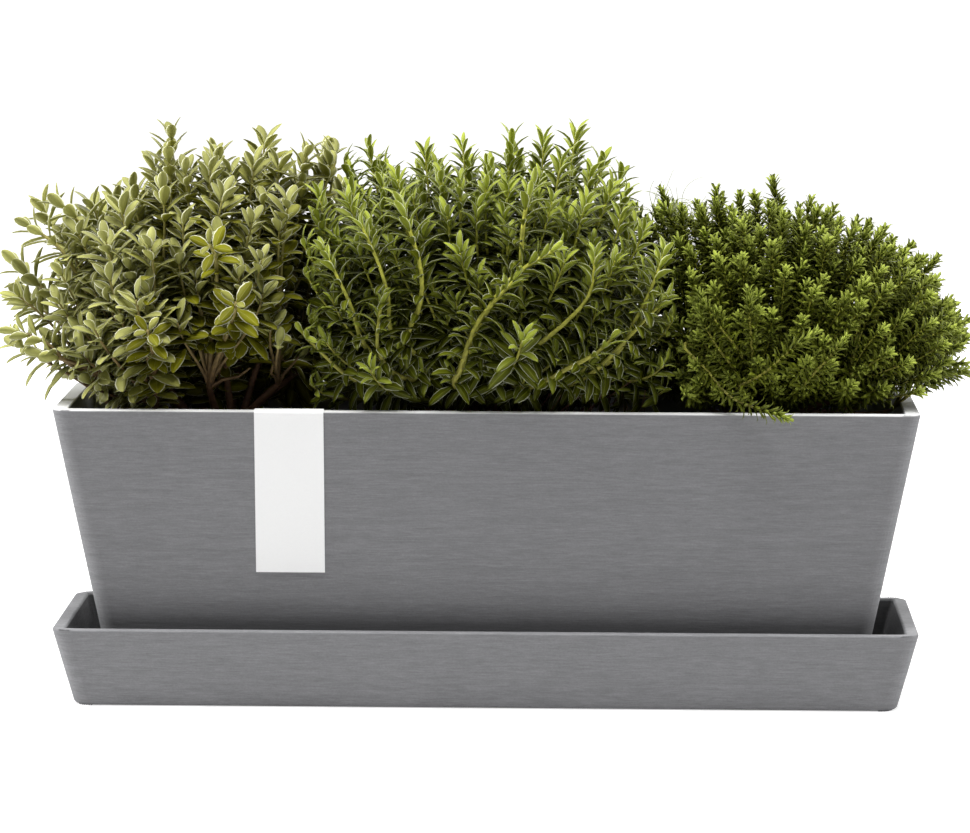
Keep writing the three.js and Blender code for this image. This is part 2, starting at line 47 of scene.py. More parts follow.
# Camera. The trough was photographed with a long lens from about 3.4 m, a little to the right of
# its middle and a little above the plants, looking slightly down.
CAMERA_PLACE = (0.0764, -3.3392, 0.5656)
CAMERA_TURN_LEFT = 0.0235
CAMERA_TILT_DOWN = 0.1157
CAMERA_ROLL = 0.0041
FILM_WIDTH_MM, LENS_MM = 36.0, 194.75
camera_data = bpy.data.cameras.new("photo_camera")
camera_data.sensor_width, camera_data.lens = FILM_WIDTH_MM, LENS_MM
camera = bpy.data.objects.new("photo_camera", camera_data)
bpy.context.collection.objects.link(camera)
camera.matrix_world = (
    Matrix.Translation(CAMERA_PLACE)
    @ Matrix.Rotation(CAMERA_TURN_LEFT, 4, "Z")
    @ Matrix.Rotation(math.pi / 2 - CAMERA_TILT_DOWN, 4, "X")
    @ Matrix.Rotation(CAMERA_ROLL, 4, "Z")
)
bpy.context.scene.camera = camera
bpy.context.scene.view_settings.view_transform = "Standard"


# Studio. A white floor that runs out of sight under soft lamps: a broad one above, whose light the
# floor throws back at the fronts, one behind and one on each side.
FLOOR_REACH = 60.0
FLOOR_DROP = 0.0004  # the floor lies this much under the saucer, so that the faces don't fight
FLOOR_TONE = (0.70, 0.70, 0.70)
FLOOR_GLOW = 0.66  # what the eye sees of the floor beyond its lit colour, which makes it white
FLOOR_FAR = (0.9, 2.2)  # distances between which the floor turns plain white to the eye
WHITE = (1, 1, 1)
SKY_LIGHT = 0.12
LAMP_TARGET = Vector((0, 0, 0.2))


def fill(tree, node, inputs):
    """Give a node's inputs their values, or link them to what other nodes put out."""
    for key, value in inputs.items():
        socket = node.inputs[key]
        if isinstance(value, bpy.types.NodeSocket):
            tree.links.new(value, socket)
        elif socket.type == "RGBA":
            socket.default_value = (*value, 1)
        else:
            socket.default_value = value


def add_node(tree, kind, inputs, **settings):
    """Add a shader node with its settings and its inputs."""
    node = tree.nodes.new("ShaderNode" + kind)
    for name, value in settings.items():
        setattr(node, name, value)
    fill(tree, node, inputs)
    return node


def maths(tree, operation, *values):
    """What a Math node makes of some values."""
    return add_node(tree, "Math", dict(enumerate(values)), operation=operation).outputs[0]


def map_range(tree, value, span, to=(0, 1), **settings):
    """A value carried over from one span to another."""
    inputs = {"From Min": span[0], "From Max": span[1], "To Min": to[0], "To Max": to[1]}
    return add_node(tree, "MapRange", {"Value": value, **inputs}, **settings).outputs["Result"]


def object_place(tree):
    """Where a point of a piece lies."""
    return add_node(tree, "TexCoord", {}).outputs["Object"]


def seen_directly(tree):
    """One where a ray comes straight from the camera, off gloss or through glass, else zero."""
    path = add_node(tree, "LightPath", {})
    total = path.outputs["Is Camera Ray"]
    for name in ("Is Glossy Ray", "Is Transmission Ray"):
        total = maths(tree, "MAXIMUM", total, path.outputs[name])
    return total


def new_material(name):
    """Start a node material and return it with its tree and its Principled shader."""
    material = bpy.data.materials.new(name)
    material.use_nodes = True
    tree = material.node_tree
    return material, tree, tree.nodes["Principled BSDF"]


bpy.ops.mesh.primitive_plane_add(size=FLOOR_REACH, location=(0, 0, -FLOOR_DROP))
floor = bpy.context.object
floor.name = "studio_floor"
floor_white, tree, shader = new_material("floor_white")
away = add_node(tree, "VectorMath", {0: object_place(tree)}, operation="LENGTH").outputs["Value"]
whiteness = map_range(tree, away, FLOOR_FAR, (FLOOR_GLOW, 1))
fill(tree, shader, {
    "Base Color": FLOOR_TONE,
    "Roughness": 0.9,
    "Specular IOR Level": 0.0,
    "Emission Color": WHITE,
    "Emission Strength": maths(tree, "MULTIPLY", whiteness, seen_directly(tree)),
})
floor.data.materials.append(floor_white)

sky = bpy.data.worlds.new("studio_sky")
bpy.context.scene.world = sky
sky.use_nodes = True
tree = sky.node_tree
brightness = map_range(tree, seen_directly(tree), (0, 1), (SKY_LIGHT, 1))
fill(tree, tree.nodes["Background"], {"Color": WHITE, "Strength": brightness})


def soft_lamp(name, place, size, watts):
    """A rectangular lamp at a place, turned to the trough."""
    lamp_data = bpy.data.lights.new(name, "AREA")
    lamp_data.shape = "RECTANGLE"
    lamp_data.size, lamp_data.size_y = size
    lamp_data.energy = watts
    lamp = bpy.data.objects.new(name, lamp_data)
    bpy.context.collection.objects.link(lamp)
    lamp.location = place
    lamp.rotation_euler = (LAMP_TARGET - Vector(place)).to_track_quat("-Z", "Y").to_euler()


soft_lamp("lamp_above", place=(-0.2, -0.65, 2.5), size=(2.0, 1.2), watts=93)
soft_lamp("lamp_back", place=(0.4, 2.8, 1.6), size=(2.0, 1.4), watts=22)
soft_lamp("lamp_left", place=(-2.2, 0.0, 1.1), size=(1.0, 1.4), watts=46)
soft_lamp("lamp_right", place=(2.2, 0.0, 1.1), size=(1.0, 1.4), watts=28)


# Saucer: a tapered tray with straight walls and a rolled-off rim, cast in grey stone composite
# that is brushed along its length. It stands flat on the ground.
SAUCER_LENGTH, SAUCER_WIDTH, SAUCER_HEIGHT = 0.5468, 0.1658, 0.050
SAUCER_DRAFT = 0.26
SAUCER_WALL, SAUCER_FLOOR = 0.0085, 0.007
TRAY_CORNER, INNER_CORNER = 0.012, 0.0024
RIM_ROUND, BASE_ROUND, WELL_ROUND = 0.0014, 0.0022, 0.0022
FOLD_ANGLE = math.radians(40)  # edges that are folded more sharply than this are rounded
FACING_UP = 0.9  # upright part of the normal of a level face, at least
SLACK, FINE_SLACK = 1e-3, 1e-5  # room given where faces and edges are chosen by their place
STONE_DARK = (0.136, 0.136, 0.141)
STONE_MID = (0.186, 0.186, 0.193)
STONE_PALE = (0.248, 0.248, 0.256)
STONE_STOPS = ((0.30, STONE_DARK), (0.50, STONE_MID), (0.72, STONE_PALE))
STONE_RIM_HIGHLIGHT = (0.74, 0.74, 0.74)  # the paler colour painted on the rim top: a painted highlight
STONE_GLOSS = ((0.3, 0.7), (0.72, 0.52))  # span of the grain's tone, and its roughness
BAND_SHARE, GRIT_SHARE = 0.36, 0.28  # how far long bands and grit make up the brushed tone
RIM_HIGHLIGHT_BAND = (0.8, 0.05)  # where the painted highlight starts and is full, in rim rounds below the rim
SAUCER_RIM_HIGHLIGHT = 0.0  # how far its rim top takes the painted highlight
SAUCER_WANDER = 0.15  # how far its brushed streaks wander
SAUCER_PAINTED_BOUNCE = 1.10  # the saucer's stone is painted a little paler than the pot's: painted bounce light from the floor
WELL_PAINTED_SHADE = 0.42  # share of its colour that the stone keeps in the well: painted shade in the recess
WELL_EDGE = 0.6  # share of the wall's thickness on top that the painted shade leaves out


def select_only(*pieces):
    """Select these pieces and no others, the first as the active one."""
    bpy.ops.object.select_all(action="DESELECT")
    for piece in pieces:
        piece.select_set(True)
    bpy.context.view_layer.objects.active = pieces[0]


def start_editing(piece):
    """Make a piece the only selected one and go into edit mode."""
    select_only(piece)
    bpy.ops.object.mode_set(mode="EDIT")


def added_piece(name, size=(1, 1, 1)):
    """The primitive just added, as a named piece with its size and place in its mesh."""
    piece = bpy.context.object
    piece.name = name
    piece.scale = size
    bpy.ops.object.transform_apply(location=True, rotation=True, scale=True)
    return piece


def choose(piece, kind, keep):
    """Select, in edit mode, the vertices, edges or faces for which keep is true."""
    bpy.ops.mesh.select_mode(type={"verts": "VERT", "edges": "EDGE", "faces": "FACE"}[kind])
    bpy.ops.mesh.select_all(action="DESELECT")
    shape = bmesh.from_edit_mesh(piece.data)
    for item in getattr(shape, kind):
        if keep(item):
            item.select_set(True)
    bmesh.update_edit_mesh(piece.data)


def finish_modifier(piece, kind, **settings):
    """Add a modifier with its settings and apply it."""
    bpy.context.view_layer.objects.active = piece
    modifier = piece.modifiers.new(kind.lower(), kind)
    for name, value in settings.items():
        setattr(modifier, name, value)
    bpy.ops.object.modifier_apply(modifier=modifier.name)


def folded_edge(edge, level):
    """True where an edge lies at a level and its two faces meet at a marked angle."""
    at_level = all(abs(v.co.z - level) < FINE_SLACK for v in edge.verts)
    return at_level and len(edge.link_faces) == 2 and edge.calc_face_angle() > FOLD_ANGLE


def round_edges(piece, keep, radius, steps):
    """Round off, in edit mode, the edges for which keep is true."""
    choose(piece, "edges", keep)
    bpy.ops.mesh.bevel(offset=radius, segments=steps, affect="EDGES")


def moulded_tray(name, length, width, base, top, draft, wall, floor_thickness):
    """A tapered box, hollowed from above, with its corners, rim, base and well rounded off."""
    height, middle = top - base, (base + top) / 2
    bpy.ops.mesh.primitive_cube_add(size=1, location=(0, 0, middle))
    tray = added_piece(name, (length, width, height))
    start_editing(tray)

    def taper(long, wide, depth):
        """Draw in what is selected by the draft over a depth."""
        lean = 2 * draft * depth
        bpy.ops.transform.resize(value=((long - lean) / long, (wide - lean) / wide, 1))

    choose(tray, "verts", lambda v: v.co.z < middle)
    taper(length, width, height)
    choose(tray, "faces", lambda f: f.normal.z > FACING_UP)
    bpy.ops.mesh.inset(thickness=wall)
    depth = height - floor_thickness
    bpy.ops.mesh.extrude_region_move(TRANSFORM_OT_translate={"value": (0, 0, -depth)})
    taper(length - 2 * wall, width - 2 * wall, depth)

    def upright(edge, outer):
        """True where an edge climbs a corner, on the outside or else in the well."""
        low, high = sorted(edge.verts, key=lambda v: v.co.z)
        if high.co.z - low.co.z < height / 2:
            return False
        return (abs(high.co.x) > (length - wall) / 2) == outer

    round_edges(tray, lambda e: upright(e, True), TRAY_CORNER, steps=12)
    round_edges(tray, lambda e: upright(e, False), INNER_CORNER, steps=5)
    round_edges(tray, lambda e: folded_edge(e, top), RIM_ROUND, steps=4)
    round_edges(tray, lambda e: folded_edge(e, base), BASE_ROUND, steps=5)
    round_edges(tray, lambda e: folded_edge(e, base + floor_thickness), WELL_ROUND, steps=3)
    bpy.ops.object.mode_set(mode="OBJECT")
    return tray


def smooth_flats(piece, degrees=35):
    """Shade rounded edges smoothly and keep the flat faces flat."""
    select_only(piece)
    bpy.ops.object.shade_smooth_by_angle(angle=math.radians(degrees))
    finish_modifier(piece, "WEIGHTED_NORMAL", keep_sharp=True, weight=80)


def new_group(name, inputs, outputs):
    """Start a node group of plain values: its tree, what it is given and what it puts out."""
    tree = bpy.data.node_groups.new(name, "ShaderNodeTree")
    for label in inputs:
        tree.interface.new_socket(label, in_out="INPUT", socket_type="NodeSocketFloat")
    for label in outputs:
        tree.interface.new_socket(label, in_out="OUTPUT", socket_type="NodeSocketFloat")
    return tree, tree.nodes.new("NodeGroupInput"), tree.nodes.new("NodeGroupOutput")


def speckle(tree, place, scale, **inputs):
    """Soft uneven noise at a place."""
    return add_node(tree, "TexNoise", {"Vector": place, "Scale": scale, **inputs}).outputs["Fac"]


def mix_values(tree, share, a, b):
    """A value between two others."""
    return add_node(tree, "Mix", {"Factor": share, "A": a, "B": b}).outputs["Result"]


def mix_colours(tree, share, a, b, blend="MIX"):
    """A colour between two others, or one laid over the other."""
    inputs = {"Factor": share, 6: a, 7: b}  # sockets 6, 7 and 2 are those for colours
    return add_node(tree, "Mix", inputs, data_type="RGBA", blend_type=blend).outputs[2]


def colour_ramp(tree, factor, stops):
    """A colour that goes with a factor from stop to stop, each a share and a colour."""
    ramp = add_node(tree, "ValToRGB", {"Fac": factor})
    elements = ramp.color_ramp.elements
    while len(elements) < len(stops):
        elements.new(0.5)
    for element, (share, colour) in zip(elements, stops):
        element.position, element.color = share, (*colour, 1)
    return ramp.outputs["Color"]


def relief(tree, height, strength, distance):
    """Normal of a surface with shallow relief."""
    inputs = {"Height": height, "Strength": strength, "Distance": distance}
    return add_node(tree, "Bump", inputs).outputs["Normal"]


def place_height(tree):
    """Height of a point of a piece."""
    return add_node(tree, "SeparateXYZ", {"Vector": object_place(tree)}).outputs["Z"]


def brushed_stone_group():
    """Tone of composite brushed along its length: short streaks, long bands and fine grit."""
    tree, given, result = new_group("brushed_stone", ["Wander"], ["Tone"])
    place = object_place(tree)

    def layer(along, up, detail, roughness):
        """Noise in features of the given sizes along and across the brushing, in metres."""
        stretch = {"Vector": place, "Scale": (1 / along, 1 / along, 1 / up)}
        stretched = add_node(tree, "Mapping", stretch).outputs["Vector"]
        inputs = {"Detail": detail, "Roughness": roughness, "Distortion": given.outputs["Wander"]}
        return speckle(tree, stretched, 1, **inputs)

    streaks = layer(along=0.010, up=0.0008, detail=4, roughness=0.65)
    bands = layer(along=0.040, up=0.0030, detail=3, roughness=0.6)
    grit = layer(along=0.0014, up=0.0010, detail=3, roughness=0.7)
    brushing = mix_values(tree, BAND_SHARE, streaks, bands)
    fill(tree, result, {"Tone": mix_values(tree, GRIT_SHARE, brushing, grit)})
    return tree


brushed_stone = brushed_stone_group()


def stone_material(name, wander, rim_level, rim_highlight, shade=1.0):
    """Matt grey stone composite, paler on its raised grain, with a painted highlight on its rim top
    and brushed relief.
    """
    material, tree, shader = new_material(name)
    tone = add_node(tree, "Group", {"Wander": wander}, node_tree=brushed_stone).outputs["Tone"]
    stops = [(share, [shade * c for c in stone]) for share, stone in STONE_STOPS]
    rim = [rim_level - rounds * RIM_ROUND for rounds in RIM_HIGHLIGHT_BAND]
    # Painted highlight: the stone is painted paler towards the rim top.
    painted_highlight = map_range(
        tree, place_height(tree), rim, (0, rim_highlight), interpolation_type="SMOOTHSTEP"
    )
    fill(tree, shader, {
        "Base Color": mix_colours(tree, painted_highlight, colour_ramp(tree, tone, stops), STONE_RIM_HIGHLIGHT),
        "Roughness": map_range(tree, tone, *STONE_GLOSS),
        "Specular IOR Level": 0.35,
        "Normal": relief(tree, tone, strength=0.35, distance=0.0006),
    })
    return material


saucer = moulded_tray(
    "saucer_tray", SAUCER_LENGTH, SAUCER_WIDTH, base=0, top=SAUCER_HEIGHT,
    draft=SAUCER_DRAFT, wall=SAUCER_WALL, floor_thickness=SAUCER_FLOOR,
)
smooth_flats(saucer)
for name, shade in (("stone_saucer", SAUCER_PAINTED_BOUNCE), ("well_shade_stone", WELL_PAINTED_SHADE)):
    stone = stone_material(name, SAUCER_WANDER, SAUCER_HEIGHT, SAUCER_RIM_HIGHLIGHT, shade)
    saucer.data.materials.append(stone)
# Faces in the saucer's well take the darker stone: painted shade in the recess.
for face in saucer.data.polygons:
    x, y, z = face.center
    inset = WELL_EDGE * SAUCER_WALL + SAUCER_DRAFT * (SAUCER_HEIGHT - z)
    inside = abs(x) < SAUCER_LENGTH / 2 - inset and abs(y) < SAUCER_WIDTH / 2 - inset
    if inside and SAUCER_FLOOR - SLACK < z < SAUCER_HEIGHT - RIM_ROUND:
        face.material_index = 1
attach(saucer, "saucer")
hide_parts("saucer")


# Pot: a taller tray of the same composite that stands on six moulded feet inside the saucer, with
# four drain holes through its floor. Its front is plain.
POT_LENGTH, POT_WIDTH = 0.545, 0.165
POT_FOOT_LEVEL, POT_BASE, POT_RIM = 0.0073, 0.0103, 0.1893
POT_DRAFT = 0.19
POT_WALL, POT_FLOOR = 0.010, 0.008
# The pot's rim top is painted paler: a painted highlight.
POT_RIM_HIGHLIGHT, POT_WANDER = 0.95, 0.25
FOOT_SIZE = (0.046, 0.014)
FOOT_HEIGHT = POT_BASE - POT_FOOT_LEVEL + POT_FLOOR / 2  # up into the pot's floor
FOOT_PLACES = (0.2025, 0.0255)  # middle of a corner foot
FOOT_CORNER, FOOT_EDGE = 0.005, 0.0008
DRAIN_RADIUS, DRAIN_PITCH, DRAIN_COUNT = 0.006, 0.105, 4
pot = moulded_tray(
    "pot_tray", POT_LENGTH, POT_WIDTH, base=POT_BASE, top=POT_RIM,
    draft=POT_DRAFT, wall=POT_WALL, floor_thickness=POT_FLOOR,
)


def join(pieces):
    """Join pieces into the first one."""
    select_only(*pieces)
    bpy.ops.object.join()
    return pieces[0]


def cut_or_add(piece, tool, operation):
    """Cut a tool out of a piece or add it, and remove the tool."""
    finish_modifier(piece, "BOOLEAN", object=tool, operation=operation, solver="EXACT")
    bpy.data.objects.remove(tool, do_unlink=True)


def upright_edge(edge):
    """True where an edge climbs."""
    return abs(edge.verts[0].co.z - edge.verts[1].co.z) > SLACK


feet = []
for x in (-FOOT_PLACES[0], 0, FOOT_PLACES[0]):
    for y in (-FOOT_PLACES[1], FOOT_PLACES[1]):
        bpy.ops.mesh.primitive_cube_add(size=1, location=(x, y, POT_FOOT_LEVEL + FOOT_HEIGHT / 2))
        foot = added_piece("foot", (*FOOT_SIZE, FOOT_HEIGHT))
        start_editing(foot)
        round_edges(foot, upright_edge, FOOT_CORNER, steps=5)
        round_edges(foot, lambda e: folded_edge(e, POT_FOOT_LEVEL), FOOT_EDGE, steps=2)
        bpy.ops.object.mode_set(mode="OBJECT")
        feet.append(foot)
cut_or_add(pot, join(feet), "UNION")
drains = []
for i in range(DRAIN_COUNT):
    place = ((i - (DRAIN_COUNT - 1) / 2) * DRAIN_PITCH, 0, POT_BASE + POT_FLOOR / 2)
    bpy.ops.mesh.primitive_cylinder_add(
        vertices=24, radius=DRAIN_RADIUS, depth=4 * POT_FLOOR, location=place
    )
    drains.append(bpy.context.object)
cut_or_add(pot, join(drains), "DIFFERENCE")
smooth_flats(pot)
stone_pot = stone_material("stone_pot", POT_WANDER, POT_RIM, POT_RIM_HIGHLIGHT)
pot.data.materials.append(stone_pot)
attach(pot, "pot")
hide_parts("pot_shell")


# Drainage gravel: a layer of burnt clay granules on the pot's floor, out of sight under the soil.
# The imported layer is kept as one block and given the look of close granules.
CLAY_GRAIN, CLAY_RELIEF = 0.007, 0.003
CLAY_DARK, CLAY_PALE = (0.13, 0.05, 0.025), (0.36, 0.16, 0.085)
FINES_PER_GRAIN = 6  # fine specks along a grain
FINES_SHARE = 0.45  # how far they make up its tone


def granular_material(name, grain, depth, dark, pale):
    """Loose rounded grains of a size and relief: a tone for each, and creases between them in the
    relief.
    """
    material, tree, shader = new_material(name)
    place = object_place(tree)
    grains = add_node(tree, "TexVoronoi", {"Vector": place, "Scale": 1 / grain})
    fine = speckle(tree, place, FINES_PER_GRAIN / grain, Detail=4)
    one_grain = add_node(tree, "SeparateColor", {"Color": grains.outputs["Color"]}).outputs["Red"]
    tone = mix_values(tree, FINES_SHARE, one_grain, fine)
    height = maths(tree, "SUBTRACT", fine, grains.outputs["Distance"])
    fill(tree, shader, {
        "Base Color": colour_ramp(tree, tone, [(0, dark), (1, pale)]),
        "Roughness": 0.92,
        "Specular IOR Level": 0.2,
        "Normal": relief(tree, height, strength=0.8, distance=depth),
    })
    return material


clay_granules = granular_material("clay_granules", CLAY_GRAIN, CLAY_RELIEF, CLAY_DARK, CLAY_PALE)
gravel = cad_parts["drainage_gravel"]
gravel.data.materials.clear()
gravel.data.materials.append(clay_granules)


# Potting soil: loose dark earth with crumbs and bark chips on top, filled in round the root balls.
# It is a tapered block with a lumpy top and a round pocket for each shrub.
SOIL_FOOT, SOIL_TOP = 0.0409, 0.1613
SOIL_HALF_TOP = (0.2569, 0.0669)
SOIL_HALF_FOOT = (0.2340, 0.0440)
SOIL_LUMP, LUMP_SIZE, LUMP_SEED = 0.0045, 0.014, 3.1
LARGE_SHARE, SMALL_FINER = 0.65, 2.7  # share of large lumps, and how much finer the others are
SHRUB_PITCH = 0.1740
SHRUB_PLACES = {"left": -SHRUB_PITCH, "middle": 0.0, "right": SHRUB_PITCH}
BALL_TOP_RADIUS, BALL_FOOT_RADIUS = 0.0592, 0.0392
BALL_FOOT = 0.0563
POCKET_GAP = 0.0004
POCKET_OVER = 0.01  # how far the tool that cuts a pocket stands out of the soil
SOIL_GRAIN, SOIL_RELIEF = 0.0024, 0.0016
SOIL_DARK, SOIL_PALE = (0.012, 0.0075, 0.0045), (0.062, 0.040, 0.025)
CRUMB_COUNT, CRUMB_SEED = 620, 11
CRUMB_SIZES = (0.0008, 0.0026)
CRUMB_BROAD, CRUMB_THICK = (0.6, 1), (0.5, 0.9)  # shares of its length
CRUMB_MARGIN = 0.004  # the crumbs stay this far off the walls and the root balls
CRUMB_RISE = 0.0006
CRUMB_DENT, DENT_SCALE = 0.35, 1.7
CRUMB_GRAIN, CRUMB_RELIEF = 0.0030, 0.0008
CRUMB_DARK, CRUMB_PALE = (0.020, 0.012, 0.007), (0.105, 0.068, 0.042)


def lumpy(x, y, size, seed):
    """Unevenness of loose earth at a place, from -1 to 1, in lumps of about a size."""
    at = Vector((x / size, y / size, seed))
    small = noise.noise(at * SMALL_FINER)
    return LARGE_SHARE * noise.noise(at) + (1 - LARGE_SHARE) * small


def soil_level(x, y):
    """Height of the soil's lumpy top at a place."""
    return SOIL_TOP - SOIL_LUMP * 0.5 + SOIL_LUMP * lumpy(x, y, LUMP_SIZE, LUMP_SEED)


def turn_faces_out():
    """Make all faces look outwards and leave edit mode."""
    bpy.ops.mesh.select_all(action="SELECT")
    bpy.ops.mesh.normals_make_consistent(inside=False)
    bpy.ops.object.mode_set(mode="OBJECT")


bpy.ops.mesh.primitive_grid_add(
    x_subdivisions=128, y_subdivisions=34, size=2, location=(0, 0, SOIL_TOP)
)
soil = added_piece("soil_bed", (*SOIL_HALF_TOP, 1))
start_editing(soil)
choose(soil, "faces", lambda f: True)
bpy.ops.mesh.extrude_region_move(TRANSFORM_OT_translate={"value": (0, 0, SOIL_FOOT - SOIL_TOP)})
shrink = [foot / top for foot, top in zip(SOIL_HALF_FOOT, SOIL_HALF_TOP)]
bpy.ops.transform.resize(value=(*shrink, 1))
turn_faces_out()
for vertex in soil.data.vertices:
    x, y, z = vertex.co
    inner = min(SOIL_HALF_TOP[0] - abs(x), SOIL_HALF_TOP[1] - abs(y))
    if z > SOIL_TOP - SLACK and inner > SLACK:
        vertex.co.z = soil_level(x, y)
pocket_top = SOIL_TOP + POCKET_OVER
slope = (BALL_TOP_RADIUS - BALL_FOOT_RADIUS) / (SOIL_TOP - BALL_FOOT)
pockets = []
for x in SHRUB_PLACES.values():
    bpy.ops.mesh.primitive_cone_add(
        vertices=48,
        radius1=BALL_FOOT_RADIUS + POCKET_GAP,
        radius2=BALL_TOP_RADIUS + POCKET_GAP + slope * POCKET_OVER,
        depth=pocket_top - BALL_FOOT + POCKET_GAP,
        location=(x, 0, (pocket_top + BALL_FOOT - POCKET_GAP) / 2),
    )
    pockets.append(bpy.context.object)
cut_or_add(soil, join(pockets), "DIFFERENCE")
smooth_flats(soil, degrees=50)
dark_earth = granular_material("dark_earth", SOIL_GRAIN, SOIL_RELIEF, SOIL_DARK, SOIL_PALE)
soil.data.materials.append(dark_earth)
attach(soil, "pot")
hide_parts("potting_soil")


def form_of(piece):
    """Vertices and faces of a modelled form, whose object is then removed."""
    vertices = np.array([v.co for v in piece.data.vertices])
    faces = [tuple(p.vertices) for p in piece.data.polygons]
    bpy.data.objects.remove(piece, do_unlink=True)
    return vertices, faces


def copies_of(name, form, turns, places, smooth=True):
    """One mesh of many copies of a form, each with its own turn and size (3x3) and place."""
    vertices, faces = form
    count = len(vertices)
    moved = np.einsum("nij,vj->nvi", turns, vertices) + places[:, None, :]
    every_face = [tuple(i + k * count for i in face) for k in range(len(turns)) for face in faces]
    mesh = bpy.data.meshes.new(name)
    mesh.from_pydata(moved.reshape(-1, 3).tolist(), [], every_face)
    mesh.polygons.foreach_set("use_smooth", [smooth] * len(every_face))
    piece = bpy.data.objects.new(name, mesh)
    bpy.context.collection.objects.link(piece)
    return piece


def random_turn(rng):
    """A turn matrix with no favoured direction."""
    q, _ = np.linalg.qr(rng.normal(size=(3, 3)))
    return q * np.sign(np.linalg.det(q))


bpy.ops.mesh.primitive_ico_sphere_add(subdivisions=1, radius=1)
crumb = bpy.context.object
for vertex in crumb.data.vertices:
    vertex.co *= 1 + CRUMB_DENT * noise.noise(vertex.co * DENT_SCALE)
crumb_form = form_of(crumb)
rng = np.random.default_rng(CRUMB_SEED)
turns, places = [], []
while len(turns) < CRUMB_COUNT:
    x, y = (rng.uniform(-half + CRUMB_MARGIN, half - CRUMB_MARGIN) for half in SOIL_HALF_TOP)
    nearest_ball = min(math.hypot(x - middle_x, y) for middle_x in SHRUB_PLACES.values())
    if nearest_ball < BALL_TOP_RADIUS + CRUMB_MARGIN:
        continue
    length = rng.uniform(*CRUMB_SIZES)
    size = length * np.array([1, rng.uniform(*CRUMB_BROAD), rng.uniform(*CRUMB_THICK)])
    turns.append(random_turn(rng) * size)
    places.append((x, y, soil_level(x, y) + CRUMB_RISE))
crumbs = copies_of("soil_crumbs", crumb_form, np.array(turns), np.array(places), smooth=False)
crumb_earth = granular_material("crumb_earth", CRUMB_GRAIN, CRUMB_RELIEF, CRUMB_DARK, CRUMB_PALE)
crumbs.data.materials.append(crumb_earth)
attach(crumbs, "pot")


# Card strip: a plain white coated card, folded over the front rim with its short end tucked inside
# the pot. It is a thin bent strip, held only by its folds.
CARD_WIDTH, CARD_CENTRE = 0.0435, -0.123
CARD_THICKNESS, CARD_GAP = 0.0006, 0.0003
CARD_FRONT_END, CARD_TUCKED_END = 0.0850, 0.1653
CARD_BEND, BEND_STEPS = 0.0018, 6  # radius inside a fold
CARD_EDGE = 0.00012  # rounding of its cut edges
CARD_WHITE = (0.95, 0.95, 0.945)
FIBRE_SHADE = 0.95  # share of the white between the fibres
FIBRE_SCALE = 900
POT_SLANT = math.hypot(1, POT_DRAFT)


def wall_front(z, gap):
    """Where a sheet at a gap from the pot's front stands, at a height."""
    return -POT_WIDTH / 2 + POT_DRAFT * (POT_RIM - z) - gap * POT_SLANT


def wall_inside(z, gap):
    """The same behind the front wall."""
    return wall_front(z, 0) + POT_WALL + gap * POT_SLANT


def rounded_path(corners, radius, steps):
    """A path through corners, each middle one rounded by a curve that starts a radius away."""
    path = [corners[0]]
    for before, corner, after in zip(corners, corners[1:], corners[2:]):
        start = corner + (before - corner).normalized() * radius
        end = corner + (after - corner).normalized() * radius
        for k in range(steps + 1):
            t = k / steps
            path.append(start * (1 - t) ** 2 + corner * 2 * t * (1 - t) + end * t**2)
    path.append(corners[-1])
    return path


card_over = POT_RIM + CARD_GAP
card_corners = [
    (wall_front(CARD_FRONT_END, CARD_GAP), CARD_FRONT_END),
    (wall_front(card_over, CARD_GAP), card_over),
    (wall_inside(card_over, CARD_GAP), card_over),
    (wall_inside(CARD_TUCKED_END, CARD_GAP), CARD_TUCKED_END),
]
card_path = rounded_path([Vector((0, *corner)) for corner in card_corners], CARD_BEND, BEND_STEPS)
bpy.ops.mesh.primitive_plane_add(size=CARD_WIDTH, location=(CARD_CENTRE, 0, 0))
card = added_piece("card_strip")
start_editing(card)
choose(card, "verts", lambda v: v.co.y > 0)
bpy.ops.mesh.delete(type="VERT")
choose(card, "verts", lambda v: True)
bpy.ops.transform.translate(value=card_path[0] - Vector((0, -CARD_WIDTH / 2, 0)))
choose(card, "edges", lambda e: True)
for before, after in zip(card_path, card_path[1:]):
    bpy.ops.mesh.extrude_region_move(TRANSFORM_OT_translate={"value": after - before})
turn_faces_out()
front_face = min(card.data.polygons, key=lambda p: p.center.z)
if front_face.normal.y > 0:
    card.data.flip_normals()
finish_modifier(card, "SOLIDIFY", thickness=CARD_THICKNESS, offset=1.0, use_even_offset=True)
finish_modifier(
    card, "BEVEL", width=CARD_EDGE, segments=2, limit_method="ANGLE", angle_limit=math.radians(60)
)
smooth_flats(card, degrees=40)
white_card, tree, shader = new_material("white_card")
fibre = speckle(tree, object_place(tree), FIBRE_SCALE, Detail=5)
card_stops = [(0, [FIBRE_SHADE * c for c in CARD_WHITE]), (1, CARD_WHITE)]
fill(tree, shader, {
    "Base Color": colour_ramp(tree, fibre, card_stops),
    "Roughness": 0.5,
    "Normal": relief(tree, fibre, strength=0.08, distance=0.0002),
})
card.data.materials.append(white_card)
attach(card, "label")
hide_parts("label_strip")


